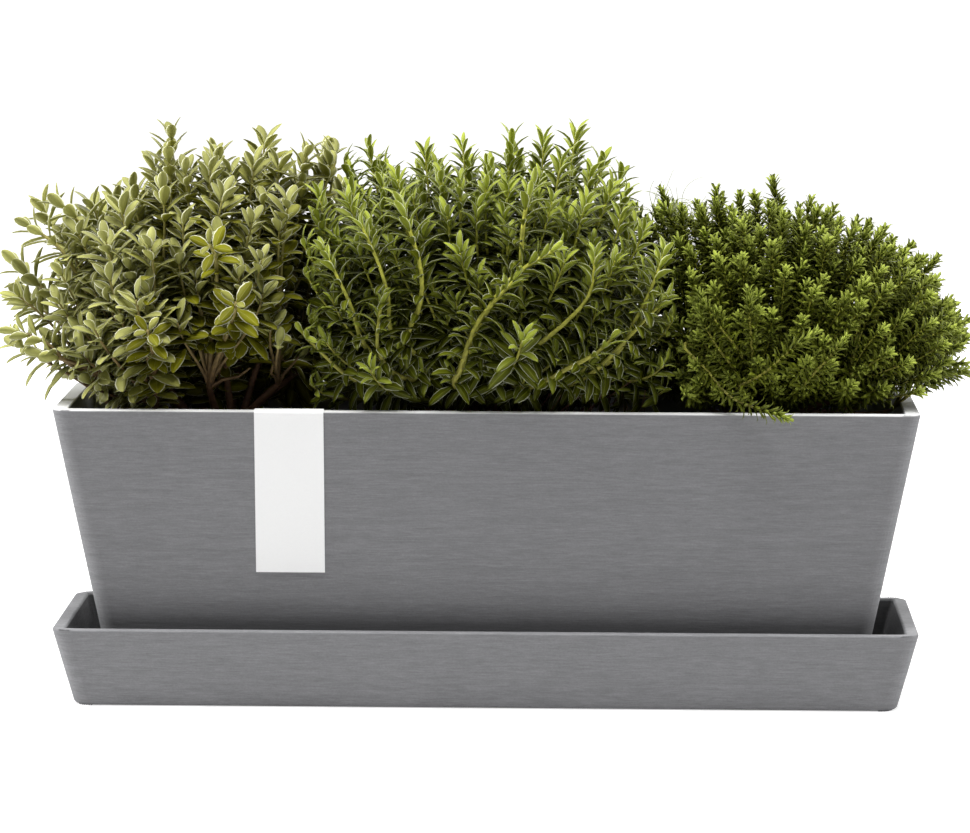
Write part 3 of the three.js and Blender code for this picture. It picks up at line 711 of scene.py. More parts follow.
# Root balls: the nursery ball of earth under each shrub, matted with fine pale roots. Each is a
# rough turned cone with roots that run over its side, and lifts out with its shrub.
BALL_RINGS = 18
BALL_LUMP, BALL_SEED = 0.010, 5.7
BALL_SIDE = 0.97  # share of the radius beyond which a point belongs to the side
BALL_SUNK, BALL_ROUGH = 0.0035, 0.004  # how far the top lies under the soil's, and its lumps
BALL_GRAIN, BALL_RELIEF = 0.0028, 0.0014
BALL_DARK, BALL_PALE = (0.016, 0.010, 0.006), (0.085, 0.056, 0.036)
ROOT_SINK = 0.0022  # how far the earth lies inside the ball's outline, which the roots fill
LEAST_SINK = 0.4  # share of that where the earth is fullest
ROOT_COUNT, ROOT_SEED = 70, 40
ROOT_STARTS = (BALL_FOOT + 0.02, SOIL_TOP - 0.004)  # levels between which a root starts
ROOT_END = BALL_FOOT + 0.002  # it ends above this
ROOT_DRIFT, ROOT_TURN, ROOT_WANDER = 0.5, 0.05, 0.02  # how it goes round the ball
ROOT_STEPS = (14, 34)  # between which the number of its points lies
ROOT_STUB = 3  # a root that comes to its end with no more points than this is left out
ROOT_FALL = (0.0022, 0.001)  # mean and spread of its way down from point to point
ROOT_INSET = 0.0009  # its middle lies this far inside the ball's outline
ROOT_RADII = (0.0006, 0.0003)
ROOT_SPECKLE = 55
ROOT_STOPS = ((0.35, (0.12, 0.075, 0.04)), (0.65, (0.36, 0.25, 0.15)))  # brown old, pale young


def tubes(name, paths, sides=1):
    """Round stems along paths, each a list of points and radii, as one mesh."""
    curve = bpy.data.curves.new(name, "CURVE")
    curve.dimensions = "3D"
    curve.bevel_depth = 1.0
    curve.bevel_resolution = sides
    curve.use_fill_caps = True
    for points, radii in paths:
        spline = curve.splines.new("POLY")
        spline.points.add(len(points) - 1)
        spline.points.foreach_set("co", np.column_stack([points, np.ones(len(points))]).ravel())
        spline.points.foreach_set("radius", np.asarray(radii, dtype=float))
    piece = bpy.data.objects.new(name, curve)
    bpy.context.collection.objects.link(piece)
    select_only(piece)
    bpy.ops.object.convert(target="MESH")
    bpy.ops.object.shade_smooth()
    return bpy.context.object


def tapering(points, radii):
    """A path for tubes, whose radius goes evenly from the first to the second."""
    return points, np.linspace(*radii, len(points))


def ball_radius(z):
    """Outline of a root ball at a height."""
    share = (z - BALL_FOOT) / (SOIL_TOP - BALL_FOOT)
    return BALL_FOOT_RADIUS + share * (BALL_TOP_RADIUS - BALL_FOOT_RADIUS)


ball_earth = granular_material("ball_earth", BALL_GRAIN, BALL_RELIEF, BALL_DARK, BALL_PALE)
root_fibre, tree, shader = new_material("root_fibre")
root_colour = colour_ramp(tree, speckle(tree, object_place(tree), ROOT_SPECKLE), ROOT_STOPS)
fill(tree, shader, {"Base Color": root_colour, "Roughness": 0.75})
for seed, (side, middle_x) in enumerate(SHRUB_PLACES.items()):
    bpy.ops.mesh.primitive_cone_add(
        vertices=72,
        radius1=BALL_FOOT_RADIUS,
        radius2=BALL_TOP_RADIUS,
        depth=SOIL_TOP - BALL_FOOT,
        end_fill_type="TRIFAN",
        location=(middle_x, 0, (SOIL_TOP + BALL_FOOT) / 2),
    )
    ball = added_piece("earth_ball_" + side)
    start_editing(ball)
    for k in range(1, BALL_RINGS):
        ring_level = BALL_FOOT + (SOIL_TOP - BALL_FOOT) * k / BALL_RINGS
        bpy.ops.mesh.select_all(action="SELECT")
        bpy.ops.mesh.bisect(plane_co=(0, 0, ring_level), plane_no=(0, 0, 1))
    choose(ball, "faces", lambda f: abs(f.normal.z) > FACING_UP)
    bpy.ops.mesh.poke()
    bpy.ops.mesh.subdivide(number_cuts=2)
    bpy.ops.object.mode_set(mode="OBJECT")
    for vertex in ball.data.vertices:
        x, y, z = vertex.co
        radius = math.hypot(x - middle_x, y)
        rough = 0.5 + 0.5 * lumpy(x + z, y - z, BALL_LUMP, BALL_SEED + seed)
        if radius > BALL_SIDE * ball_radius(z):
            shrink = 1 - ROOT_SINK * (LEAST_SINK + (1 - LEAST_SINK) * rough) / radius
            vertex.co.x = middle_x + (x - middle_x) * shrink
            vertex.co.y = y * shrink
        elif z > SOIL_TOP - SLACK:
            vertex.co.z = SOIL_TOP - BALL_SUNK + BALL_ROUGH * rough
    smooth_flats(ball, degrees=60)
    ball.data.materials.append(ball_earth)
    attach(ball, "shrub_" + side)
    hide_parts("root_ball_" + side)
    rng = np.random.default_rng(ROOT_SEED + seed)
    paths = []
    for _ in range(ROOT_COUNT):
        angle = rng.uniform(0, 2 * math.pi)
        z = rng.uniform(*ROOT_STARTS)
        drift = rng.uniform(-ROOT_DRIFT, ROOT_DRIFT)
        points = []
        for _ in range(int(rng.uniform(*ROOT_STEPS))):
            angle += drift * ROOT_TURN + rng.normal(0, ROOT_WANDER)
            z -= abs(rng.normal(*ROOT_FALL))
            if z < ROOT_END:
                break
            reach = ball_radius(z) - ROOT_INSET
            points.append((middle_x + reach * math.cos(angle), reach * math.sin(angle), z))
        if len(points) > ROOT_STUB:
            paths.append(tapering(points, ROOT_RADII))
    fibres = tubes("root_fibres_" + side, paths, sides=0)
    fibres.data.materials.append(root_fibre)
    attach(fibres, "shrub_" + side)


# Left shrub: a small evergreen with oval grey-green leaves edged in cream, in crossed pairs along
# upright shoots that end in pale young leaves. Its shoots grow from a few brown branches.
UP = np.array([0, 0, 1.0])
GOLDEN_ANGLE = math.pi * (3 - math.sqrt(5))
CROWN_BOUNDARY = 0.0985  # upright wall between two crowns, from the middle of the trough
BOUNDARY_TURN = 0.34  # the middle crown is this much wider for each unit to the front
BOUNDARY_REACH = (0.02, 0.18)  # places along the trough between which tips turn with that wall
BOUNDARY_WAVE = (0.006, 0.058)  # height and length of the waves in that wall
CROWN_ROUND = 2.6  # 2 is a round section across the crown, more is squarer
SECTION_POINTS, CURVE_POINTS, ROUTE_POINTS = 33, 60, 20  # on drawn curves
HEM_DEPTH = 0.86  # half depth of the crown at its hem, as a share of the largest
EVEN_SPREAD = (0.7548776662, 0.5698402910)  # steps of an even two-way sequence of points
SHELL, CORE = (0.76, 1.0), (0.30, 0.72)  # how far out fillers end, near the surface and inside
CORE_SHARE = 3  # one filler in so many ends inside
FRONT_HOLLOW = 0.10  # share by which the fillers in front lie further in, behind the leading shoots
END_RISE = ((0.235, 0.272), (0.0, 0.212))  # lowest tips towards the ends, where the rim shows
LOW_SHARE = 6  # one filler in so many stays low inside the crown
LOW_INSIDE = (0.245, 0.064)  # half length and half width within which it does
LOW_FRONT = 0.4  # share of that half width that it uses in front
LOW_RISE = 0.03  # how far above the hem it may end
HOME_MARGIN = 0.002  # stems stay this far inside their own crown's ground
COLLAR_RISE, COLLAR_RADIUS = 0.002, 0.011  # where the branches leave the root ball
FIRST_ANGLE, FIRST_LEAN = 0.7, 0.5  # way of the first branch, and how far all lean out at first
HUB_RISE, HUB_STOREY, HUB_STOREYS = 0.022, 0.016, 3  # levels at which branches end, over the soil
HUB_DEPTH = 0.8  # share of the crown's depth that the hubs use
FAN_RISE = 0.03  # the point that the shoots fan out from lies this much over the soil
FAN_SHARE = 0.62  # how far out the hub of a shoot lies, as a share of its tip
HUB_BELOW = 0.02  # a hub lies this much lower than its tips where it can
END_LEAN = ((0.24, 0.30), (1.0, 0.25))  # share by which shoots turn up, less at the trough's ends
LEAVING = 0.03 * UP  # added to the way from the hub to the tip, so that a shoot rises at first
SHOOT_WANDER, FACING_WANDER = 0.14, 0.15
FACING_RISE = 0.35  # how far the shoots that look to the front turn up
BRANCH_STEP, SHOOT_STEP, STEM_STEP = 0.006, 0.003, 0.008  # between points, and rings of a stem
LEFT_LEADERS = [
    (-203, 0, 357), (-177, 20, 342), (-144, 10, 351), (-116, -10, 347), (-288, 30, 307),
    (-252, -10, 312), (-241, 20, 314), (-230, 30, 318), (-298, -20, 254), (-298, -30, 225),
    (-239, -60, 293), (-237, -70, 273), (-218, -85, 259), (-245, -75, 239), (-254, -60, 222),
    (-140, -70, 262), (-120, -30, 218), (-135, -50, 214), (-112, 10, 222), (-150, -40, 212),
    (-240, -52, 212), (-246, -30, 214), (-252, -50, 205), (-232, -60, 204), (-108, 15, 300),
    (-106, 30, 268), (-112, 40, 322), (-106, 35, 242), (-122, 50, 290), (-116, 60, 256),
    (-150, 62, 204), (-136, 66, 208), (-122, 60, 204), (-165, 64, 206), (-178, 60, 208),
    (-143, 54, 212), (-158, 69, 199), (-146, 70, 198), (-134, 70, 199), (-126, 68, 197),
]
# Shoots that are seen from foot to tip, as rows of places in mm
LEFT_ROUTES = [
    [(-235, -20, 224), (-257, -30, 263), (-271, -30, 286), (-289, -28, 299)],
    [(-234, -40, 203), (-264, -50, 215), (-278, -48, 228), (-296, -40, 234)],
    [(-237, -20, 215), (-264, -20, 241), (-282, -14, 257), (-299, -8, 272)],
    [(-235, 10, 203), (-264, 15, 224), (-286, 20, 241), (-300, 20, 249)],
    [(-238, -46, 206), (-260, -54, 216), (-282, -50, 221)],
    [(-217, -10, 233), (-241, -20, 277), (-258, -20, 301), (-272, -18, 313)],
]
LEFT_FACING = [(-172, -90, 294), (-155, -98, 259), (-210, -96, 241)]  # shoots that look to the front
LEFT_CROWN = {
    "side": "left",
    "foot": -SHRUB_PITCH,
    # Rows of a place along the trough, the top of the shoots and the half depth there, in mm
    "skyline": [(-274, 294, 60), (-258, 308, 76), (-232, 318, 84), (-210, 347, 86), (-100, 350, 86)],
    "waist": 0.240,  # level at which the crown is deepest
    "hem": 0.202,  # level of the lowest tips at the back
    "front_hem": 0.226,
    "branches": 14,
    "reach": 0.78,  # how far out the branches lean, as a share of the crown's half length
    "leaders": LEFT_LEADERS,
    "routes": LEFT_ROUTES,
    "facing": LEFT_FACING,
    "fillers": 330,  # tries
    "spacing": 0.0152,  # least distance between tips
    "upright": 1.3,  # how strongly the shoots turn up at their ends
}
LEFT_SEED = 101
PAINTED_LIGHT_END = -0.212  # beyond this the leaves stay pale for longer: painted light on the crown's left end
LEFT_CLEARING = ((-0.196, -0.108), -0.012, 0.224)  # bare ground in front, where the branches show
LEFT_HABIT = {
    "leafy": 0.088,  # length of a shoot that bears leaves
    "gaps": (0.0040, 0.0078),  # between rows of leaves, at the tip and further down
    "count": 2,  # leaves in a row
    "size": 0.0212,
    "young_size": 0.68,  # share of the full size at the tip
    "spread": (0.55, 1.40),  # angle off the stem, at the tip and further down
    "stem": 0.0008,
    "skyward": 0.12,  # how far the leaves turn their faces up
    "aging": (0.0, 1.0),  # age of the leaves at the tip and at the end of the leafy length
}
# Leaves that keep their young colour over most of a shoot: painted light on the lit left end and the
# leading shoots.
PAINTED_LIGHT_HABIT = {**LEFT_HABIT, "aging": (0.0, 0.18)}
FACING_HABIT = {
    **LEFT_HABIT,
    "leafy": 0.040,
    "gaps": (0.0055, 0.0080),
    "size": 0.0180,
    "spread": (0.75, 1.30),
    "aging": (0.15, 1.0),
}
OVAL_STATIONS = [
    (0.0, 0.0), (0.13, 0.085), (0.36, 0.19), (0.60, 0.225), (0.82, 0.175), (0.95, 0.085), (1.0, 0.0),
]
LEFT_OLD = (0.182, 0.178, 0.002)
LEFT_YOUNG = (0.374, 0.377, 0.124)
LEFT_EDGE = (0.86, 0.86, 0.66)
BARK_LOW, BARK_HIGH = (0.13, 0.060, 0.031), (0.23, 0.13, 0.062)
OLIVE_LOW, OLIVE_HIGH = (0.15, 0.085, 0.036), (0.36, 0.33, 0.085)


def unit(vector):
    """A vector of length one."""
    return vector / np.linalg.norm(vector)


def metres(places):
    """Places given in mm."""
    return np.array(places) / 1000


def run_along(points):
    """Distance along a line of points, at each of them."""
    return np.concatenate([[0], np.cumsum(np.linalg.norm(np.diff(points, axis=0), axis=1))])


def point_at(distance, run, points):
    """The point at a distance along a line of points, or a row of them at several distances."""
    return np.stack([np.interp(distance, run, column) for column in points.T], axis=-1)


def section_point(crown, top, depth, share):
    """A point of a crown's section, at a share of the way from its front hem over the top to the
    back."""
    turn = np.linspace(math.pi, 0, SECTION_POINTS)
    power = 2 / CROWN_ROUND
    y = depth * np.sign(np.cos(turn)) * np.abs(np.cos(turn)) ** power
    z = crown["waist"] + (top - crown["waist"]) * np.abs(np.sin(turn)) ** power
    y = np.concatenate([[-HEM_DEPTH * depth], y, [HEM_DEPTH * depth]])
    z = np.concatenate([[crown["front_hem"]], z, [crown["hem"]]])
    run = np.concatenate([[0], np.cumsum(np.hypot(np.diff(y), np.diff(z)))])
    return point_at(share * run[-1], run, np.column_stack([y, z]))


def own_ground(side, points):
    """How far points lie inside their crown's ground, off the upright walls to the next crowns."""
    x, y = points[..., 0], points[..., 1]
    wave = BOUNDARY_WAVE[0] * np.sin(2 * math.pi * y / BOUNDARY_WAVE[1] + np.sign(x))
    boundary = CROWN_BOUNDARY - BOUNDARY_TURN * y + wave
    return {"left": -x - boundary, "middle": boundary - abs(x), "right": x - boundary}[side]


def way_home(side, x):
    """Level direction from the wall between two crowns into a crown, at a place along the trough."""
    along = {"left": -1.0, "middle": -math.copysign(1, x), "right": 1.0}[side]
    return unit(np.array([along, -BOUNDARY_TURN if side == "middle" else BOUNDARY_TURN, 0.0]))


def keep_home(side, path):
    """A path whose points are moved along the trough into their own crown's ground."""
    outside = np.maximum(0, HOME_MARGIN - own_ground(side, path))
    along = {"left": -1.0, "middle": -np.sign(path[:, 0]), "right": 1.0}[side]
    return path + np.column_stack([outside * along, 0 * outside, 0 * outside])


def crown_tips(crown, open_tips, rng):
    """Tips of a crown's shoots: the leading ones, fillers spread over the crown between them and
    some open tips, and low ones inside, where the crown closes over the soil."""
    tips = list(metres(crown["leaders"]))
    taken = tips + list(metres(open_tips))
    sky = metres(crown["skyline"])
    run = run_along(sky)
    turning = (BOUNDARY_REACH[0], CROWN_BOUNDARY, BOUNDARY_REACH[1])
    for i in range(crown["fillers"]):
        along, share = ((0.5 + i * step) % 1 for step in EVEN_SPREAD)
        x, top, depth = point_at(along * run[-1], run, sky)
        inner = rng.uniform(*(SHELL if i % CORE_SHARE else CORE))
        y, z = section_point(crown, top, depth, share)
        if z > crown["waist"]:
            z = crown["waist"] + (z - crown["waist"]) * inner
        z = max(z, np.interp(abs(x), *END_RISE))
        x -= math.copysign(1, x) * np.interp(abs(x), turning, (0, 1, 0)) * BOUNDARY_TURN * y
        tip = np.array([x, y * (inner - FRONT_HOLLOW * (y < 0)), z])
        if i % LOW_SHARE == 0:
            low_x = np.clip(x, -LOW_INSIDE[0], LOW_INSIDE[0])
            low_y = LOW_INSIDE[1] * ((1 + LOW_FRONT) * share - LOW_FRONT)
            tip = np.array([low_x, low_y, crown["hem"] + rng.uniform(0, LOW_RISE)])
        tip = keep_home(crown["side"], tip[None])[0]
        if min(np.linalg.norm(tip - other) for other in taken) > crown["spacing"]:
            tips.append(tip)
            taken.append(tip)
    return tips


def evenly_spaced(points, step):
    """Points along a line of points, about a step apart."""
    run = run_along(points)
    even = np.linspace(0, run[-1], max(int(run[-1] / step), 3) + 1)
    return point_at(even, run, points)


def smooth_path(start, leave, arrive, end, step):
    """Evenly spaced points on a curve that leaves start and arrives at end along given ways."""
    reach = np.linalg.norm(end - start) / 3
    t = np.linspace(0, 1, CURVE_POINTS)[:, None]
    a, b = start + leave * reach, end - arrive * reach
    points = (1 - t) ** 3 * start + 3 * (1 - t) ** 2 * t * a + 3 * (1 - t) * t**2 * b + t**3 * end
    return evenly_spaced(points, step)


def grow_branches(crown):
    """Branches that rise from the collar and lean out to hubs low inside the crown."""
    sky = metres(crown["skyline"])
    foot = np.array([crown["foot"], 0, SOIL_TOP + COLLAR_RISE])
    half_length = (sky[-1, 0] - sky[0, 0]) / 2
    middle = (sky[-1, 0] + sky[0, 0]) / 2
    branches = []
    for k in range(crown["branches"]):
        angle = k * GOLDEN_ANGLE + FIRST_ANGLE
        reach = crown["reach"] * math.sqrt((k + 0.5) / crown["branches"])
        way = np.array([math.cos(angle), math.sin(angle), 0])
        level = SOIL_TOP + HUB_RISE + HUB_STOREY * (k % HUB_STOREYS)
        out_x, out_y = reach * half_length * way[0], HUB_DEPTH * reach * sky[:, 2].max() * way[1]
        hub = np.array([middle + out_x, out_y, level])
        rise = unit(FIRST_LEAN * way + UP)
        path = smooth_path(foot + COLLAR_RADIUS * way, rise, unit(hub - foot), hub, BRANCH_STEP)
        branches.append(keep_home(crown["side"], path))
    return branches


def hubs_of(branches):
    """Ends of the branches, from which the shoots grow."""
    return np.array([branch[-1] for branch in branches])


def nearest(points, place):
    """The point nearest to a place."""
    return points[np.argmin(np.linalg.norm(points - place, axis=1))]


def grow_shoots(crown, branches, tips, rng):
    """A shoot to each tip from a hub nearer the foot, so that the shoots fan out. It turns up at its
    end, less so at the trough's ends."""
    hubs = hubs_of(branches)
    foot = np.array([crown["foot"], 0, SOIL_TOP + FAN_RISE])
    shoots = []
    for tip in tips:
        aim = foot + FAN_SHARE * (tip - foot)
        across = np.linalg.norm(hubs[:, :2] - aim[:2], axis=1)
        hub = hubs[np.argmin(across + np.maximum(0, hubs[:, 2] + HUB_BELOW - tip[2]))]
        turn_up = crown["upright"] * np.interp(abs(tip[0]), *END_LEAN)
        growth = unit(unit(tip - foot) + turn_up * UP + rng.normal(0, SHOOT_WANDER, 3))
        path = smooth_path(hub, unit(tip - hub + LEAVING), growth, tip, SHOOT_STEP)
        shoots.append(keep_home(crown["side"], path))
    return shoots


def facing_shoots(crown, branches, rng):
    """Shoots whose tips look to the front, so that their leaves open like a flower there."""
    shoots = []
    for tip in metres(crown["facing"]):
        hub = nearest(hubs_of(branches), tip)
        growth = unit(np.array([rng.normal(0, FACING_WANDER), -1.0, FACING_RISE]))
        shoots.append(smooth_path(hub, unit(tip - hub + LEAVING), growth, tip, SHOOT_STEP))
    return shoots


def routed_shoots(crown, branches):
    """Shoots on smooth curves from the nearest hubs through rows of given places."""
    t = np.linspace(0, 1, ROUTE_POINTS, endpoint=False)[:, None]
    shoots = []
    for route in crown["routes"]:
        places = metres(route)
        knots = np.vstack([nearest(hubs_of(branches), places[0]), places])
        spread = np.vstack([2 * knots[0] - knots[1], knots, 2 * knots[-1] - knots[-2]])
        curve = []
        for before, a, b, after in zip(spread, spread[1:], spread[2:], spread[3:]):
            leave, arrive = (b - before) / 2, (after - a) / 2
            ends = (2 * t**3 - 3 * t**2 + 1) * a + (3 * t**2 - 2 * t**3) * b
            curve.append(ends + (t**3 - 2 * t**2 + t) * leave + (t**3 - t**2) * arrive)
        curve.append(knots[-1:])
        shoots.append(keep_home(crown["side"], evenly_spaced(np.vstack(curve), SHOOT_STEP)))
    return shoots


def grow_crown(crown, rng):
    """A crown's branches, its shoots, the shoots on its routes and those that face the front."""
    branches = grow_branches(crown)
    tips = crown_tips(crown, crown["facing"] + [route[-1] for route in crown["routes"]], rng)
    shoots = grow_shoots(crown, branches, tips, rng)
    return branches, shoots, routed_shoots(crown, branches), facing_shoots(crown, branches, rng)


RIM_CORNER = 0.257  # beyond this the leaves stay off the rim, whose corners show
WALL_CLEAR, RIM_CLEAR, SOIL_CLEAR = 0.0015, 0.0025, 0.003  # distances of the leaves off the pot
CARD_CLEAR, CARD_BEHIND, CARD_RISE = 0.002, 0.004, 0.040  # beside, behind and over the card's way
CORNER_CLEAR, END_CLEAR = 0.008, 0.004  # over the rim's corners and beyond the pot's ends
NEXT_CLEAR = 0.0004  # from the wall to the next crown


def inside_half(z):
    """Half length and half width of the pot's inside at a height."""
    inset = POT_DRAFT * (POT_RIM - z) + POT_WALL
    return POT_LENGTH / 2 - inset, POT_WIDTH / 2 - inset


def has_room(side, points):
    """For rows of points, true where all of a row stay off the pot, the soil, the card's way up and
    the next crown."""
    x, y, z = (points[..., k] for k in range(3))
    half_length, half_width = inside_half(z)
    within = (abs(x) < half_length - WALL_CLEAR) & (abs(y) < half_width - WALL_CLEAR)
    outer = POT_WALL + WALL_CLEAR
    beyond = (abs(x) > half_length + outer) | (abs(y) > half_width + outer)
    off_pot = (z > POT_RIM + RIM_CLEAR) | within | beyond
    beside_card = abs(x - CARD_CENTRE) < CARD_WIDTH / 2 + CARD_CLEAR
    off_card = ~(beside_card & (y < CARD_BEHIND - half_width)) | (z > POT_RIM + CARD_RISE)
    over_corner = (z > POT_RIM + CORNER_CLEAR) | (abs(x) > POT_LENGTH / 2 + END_CLEAR)
    off_corner = (abs(x) < RIM_CORNER) | over_corner
    at_home = (own_ground(side, points) > NEXT_CLEAR) & (z > SOIL_TOP + SOIL_CLEAR)
    return (at_home & off_pot & off_card & off_corner).all(axis=-1)


LEAF_FOOT_THICK = 1.2  # times its thickness at a leaf's foot, and one less at its tip


def leaf_form(sides, stations, thickness, fold, lift, droop):
    """A leaf one unit long along +Y, given as its half widths at shares of its length. It is a bar
    that is cut across at each station, swelled there, drawn to a point, folded and bent."""
    bpy.ops.mesh.primitive_cylinder_add(
        vertices=sides, radius=0.5, depth=1, rotation=(math.pi / 2, 0, 0), location=(0, 0.5, 0)
    )
    leaf = added_piece("leaf")
    start_editing(leaf)
    for share, _ in stations[1:-1]:
        bpy.ops.mesh.select_all(action="SELECT")
        bpy.ops.mesh.bisect(plane_co=(0, share, 0), plane_no=(0, 1, 0))
    for share, half_width in stations:
        choose(leaf, "verts", lambda v: abs(v.co.y - share) < FINE_SLACK)
        if half_width:
            thick = thickness * (LEAF_FOOT_THICK - share)
            bpy.ops.transform.resize(value=(2 * half_width, 1, thick))
        else:
            bpy.ops.mesh.merge(type="CENTER")
    bpy.ops.object.mode_set(mode="OBJECT")
    along = np.array([v.co.y for v in leaf.data.vertices])
    half = np.interp(along, *zip(*stations))
    sideways = np.array([v.co.x for v in leaf.data.vertices])
    across = 0.5 + 0.5 * sideways / np.maximum(half, SLACK)
    for vertex in leaf.data.vertices:
        vertex.co.z += fold * abs(vertex.co.x) + lift * vertex.co.y - droop * vertex.co.y**2
    return form_of(leaf), across, along


def leaf_turn(axis, face):
    """Turn matrix of a leaf whose length follows axis and whose upper side looks to face."""
    face = unit(face - axis * (face @ axis))
    return np.column_stack([np.cross(axis, face), axis, face])


LEAFY_LIMIT = 0.94  # share of a shoot that may bear leaves
STEEP = 0.6  # upright part of the way of a steep shoot, at least
ASLANT = (0.35, 0.2, 0.1)  # a way that no steep shoot takes
GAP_GROWTH = 2.5  # how fast the gaps between rows grow with age


def whorls(shoot, leafy, gaps, count, rng):
    """Rows of leaves down a shoot from its tip: place, way up the stem, outward ways and age."""
    points = shoot[::-1]
    back = run_along(points)
    leafy = min(leafy, LEAFY_LIMIT * back[-1])
    ways = -np.gradient(points, axis=0)
    mean_way = unit(ways.mean(axis=0))
    beside = np.cross(mean_way, ASLANT if abs(mean_way[2]) > STEEP else UP)
    turn = rng.uniform(0, math.pi)
    at, rows = 0.0, []
    while at < leafy:
        way = unit(point_at(at, back, ways))
        first = unit(beside - way * (beside @ way))
        second = np.cross(way, first)
        row_turn = turn + len(rows) * math.pi / count
        angles = [row_turn + 2 * math.pi * k / count for k in range(count)]
        outs = [first * math.cos(a) + second * math.sin(a) for a in angles]
        age = at / leafy
        rows.append((point_at(at, back, points), way, outs, age))
        at += gaps[0] + (gaps[1] - gaps[0]) * min(1.0, age * GAP_GROWTH)
    return rows


LEAF_OUTLINE = np.array([[0, 0, 0], [0, 1, 0], [0.2, 0.5, 0], [-0.2, 0.5, 0]])  # for clearances
SIZE_VARIES, LEAFY_VARIES = (0.88, 1.12), (0.85, 1.15)
TILT_VARIES, WAY_VARIES = 0.10, 0.05
GROWN_AGE, OPEN_AGE = 0.22, 0.3  # ages at which a leaf has its full size and its full spread
OLD_SHRINK = 0.18  # how much smaller the leaves are for each unit of age over OLD_AGE
OLD_AGE = 0.6
TURN_BACK = 0.0008  # a leaf whose tip comes this near to the next crown's wall is turned back


def leaves_on(side, shoots, habit, rng):
    """Turn with size, place and age of every leaf that has room on some shoots."""
    turns, places, ages = [], [], []
    for shoot in shoots:
        vigour = rng.uniform(*SIZE_VARIES)
        leafy = habit["leafy"] * rng.uniform(*LEAFY_VARIES)
        for place, way, outs, age in whorls(shoot, leafy, habit["gaps"], habit["count"], rng):
            grown = habit["young_size"] + (1 - habit["young_size"]) * min(1.0, age / GROWN_AGE)
            length = habit["size"] * vigour * grown * (1 - OLD_SHRINK * max(0.0, age - OLD_AGE))
            angle = np.interp(age, [0, OPEN_AGE], habit["spread"])
            for out in outs:
                tilt = angle + rng.normal(0, TILT_VARIES)
                lean = way * math.cos(tilt) + out * math.sin(tilt)
                axis = unit(lean + rng.normal(0, WAY_VARIES, 3))
                size = length * rng.uniform(*SIZE_VARIES)
                foot = place + out * habit["stem"]
                if own_ground(side, foot + axis * size) < TURN_BACK:
                    home = way_home(side, foot[0])
                    axis = unit(axis - 2 * min(0.0, axis @ home) * home)
                face = way - axis * (way @ axis) + habit["skyward"] * UP
                turns.append(leaf_turn(axis, face) * size)
                places.append(foot)
                ages.append(np.interp(age, [0, 1], habit["aging"]))
    turns, places, ages = np.array(turns), np.array(places), np.array(ages)
    room = has_room(side, np.einsum("nij,pj->npi", turns, LEAF_OUTLINE) + places[:, None, :])
    return turns[room], places[room], ages[room]


def outside_clearing(leaves, ground, depth, level):
    """The leaves that do not grow below a level over some length of the front of a crown."""
    turns, places, ages = leaves
    x, y, z = places.T
    kept = (x < ground[0]) | (x > ground[1]) | (y > depth) | (z > level)
    return turns[kept], places[kept], ages[kept]


def leaf_piece(name, form, turns, places, ages, rng):
    """Leaves as one mesh, with their map, age and tint."""
    (vertices, faces), across, along = form
    piece = copies_of(name, (vertices, faces), turns, places)
    mesh = piece.data
    total = len(turns)
    uv = mesh.uv_layers.new(name="leaf")
    corner = np.empty(len(mesh.loops), dtype=np.int32)
    mesh.loops.foreach_get("vertex_index", corner)
    flat = np.column_stack([np.tile(across, total), np.tile(along, total)])
    uv.data.foreach_set("uv", flat[corner].ravel())
    tints = rng.uniform(0, 1, total)
    for label, values in (("age", ages), ("tint", tints)):
        every = np.repeat(values, len(vertices)).astype(np.float32)
        mesh.attributes.new(label, "FLOAT", "POINT").data.foreach_set("value", every)
    return piece


def foliage(side, name, form, batches, material, rng):
    """The leaves of a crown as a front piece and a back piece, each for the CAD shoots on its side."""
    turns, places, ages = (np.concatenate(column) for column in zip(*batches))
    shoots = sorted(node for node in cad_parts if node.startswith("shoot_" + side))
    in_front = {node: sum(corner[1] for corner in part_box(node)) < 0 for node in shoots}
    for half, chosen in (("front", places[:, 1] < 0), ("back", places[:, 1] >= 0)):
        piece = leaf_piece(f"{name}_{half}", form, turns[chosen], places[chosen], ages[chosen], rng)
        piece.data.materials.append(material)
        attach(piece, "shrub_" + side)
        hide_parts(*(node for node in shoots if in_front[node] == (half == "front")))


YOUNG_AGE = 0.28  # age at which a leaf has lost its young colour
MOTTLE_DARK, MOTTLE_PALE = (0.62, 0.62, 0.62), (1.28, 1.28, 1.22)  # what it does to the colour
RIB_SHARE = 0.35  # how far the midrib takes the young colour
SPOT_SCALE = 260
TINT_SHARE = 0.65  # share of the mottling that goes from leaf to leaf, the rest being spots
GLOSS_VARIES = (-0.08, 0.10)  # change of the roughness with the mottling


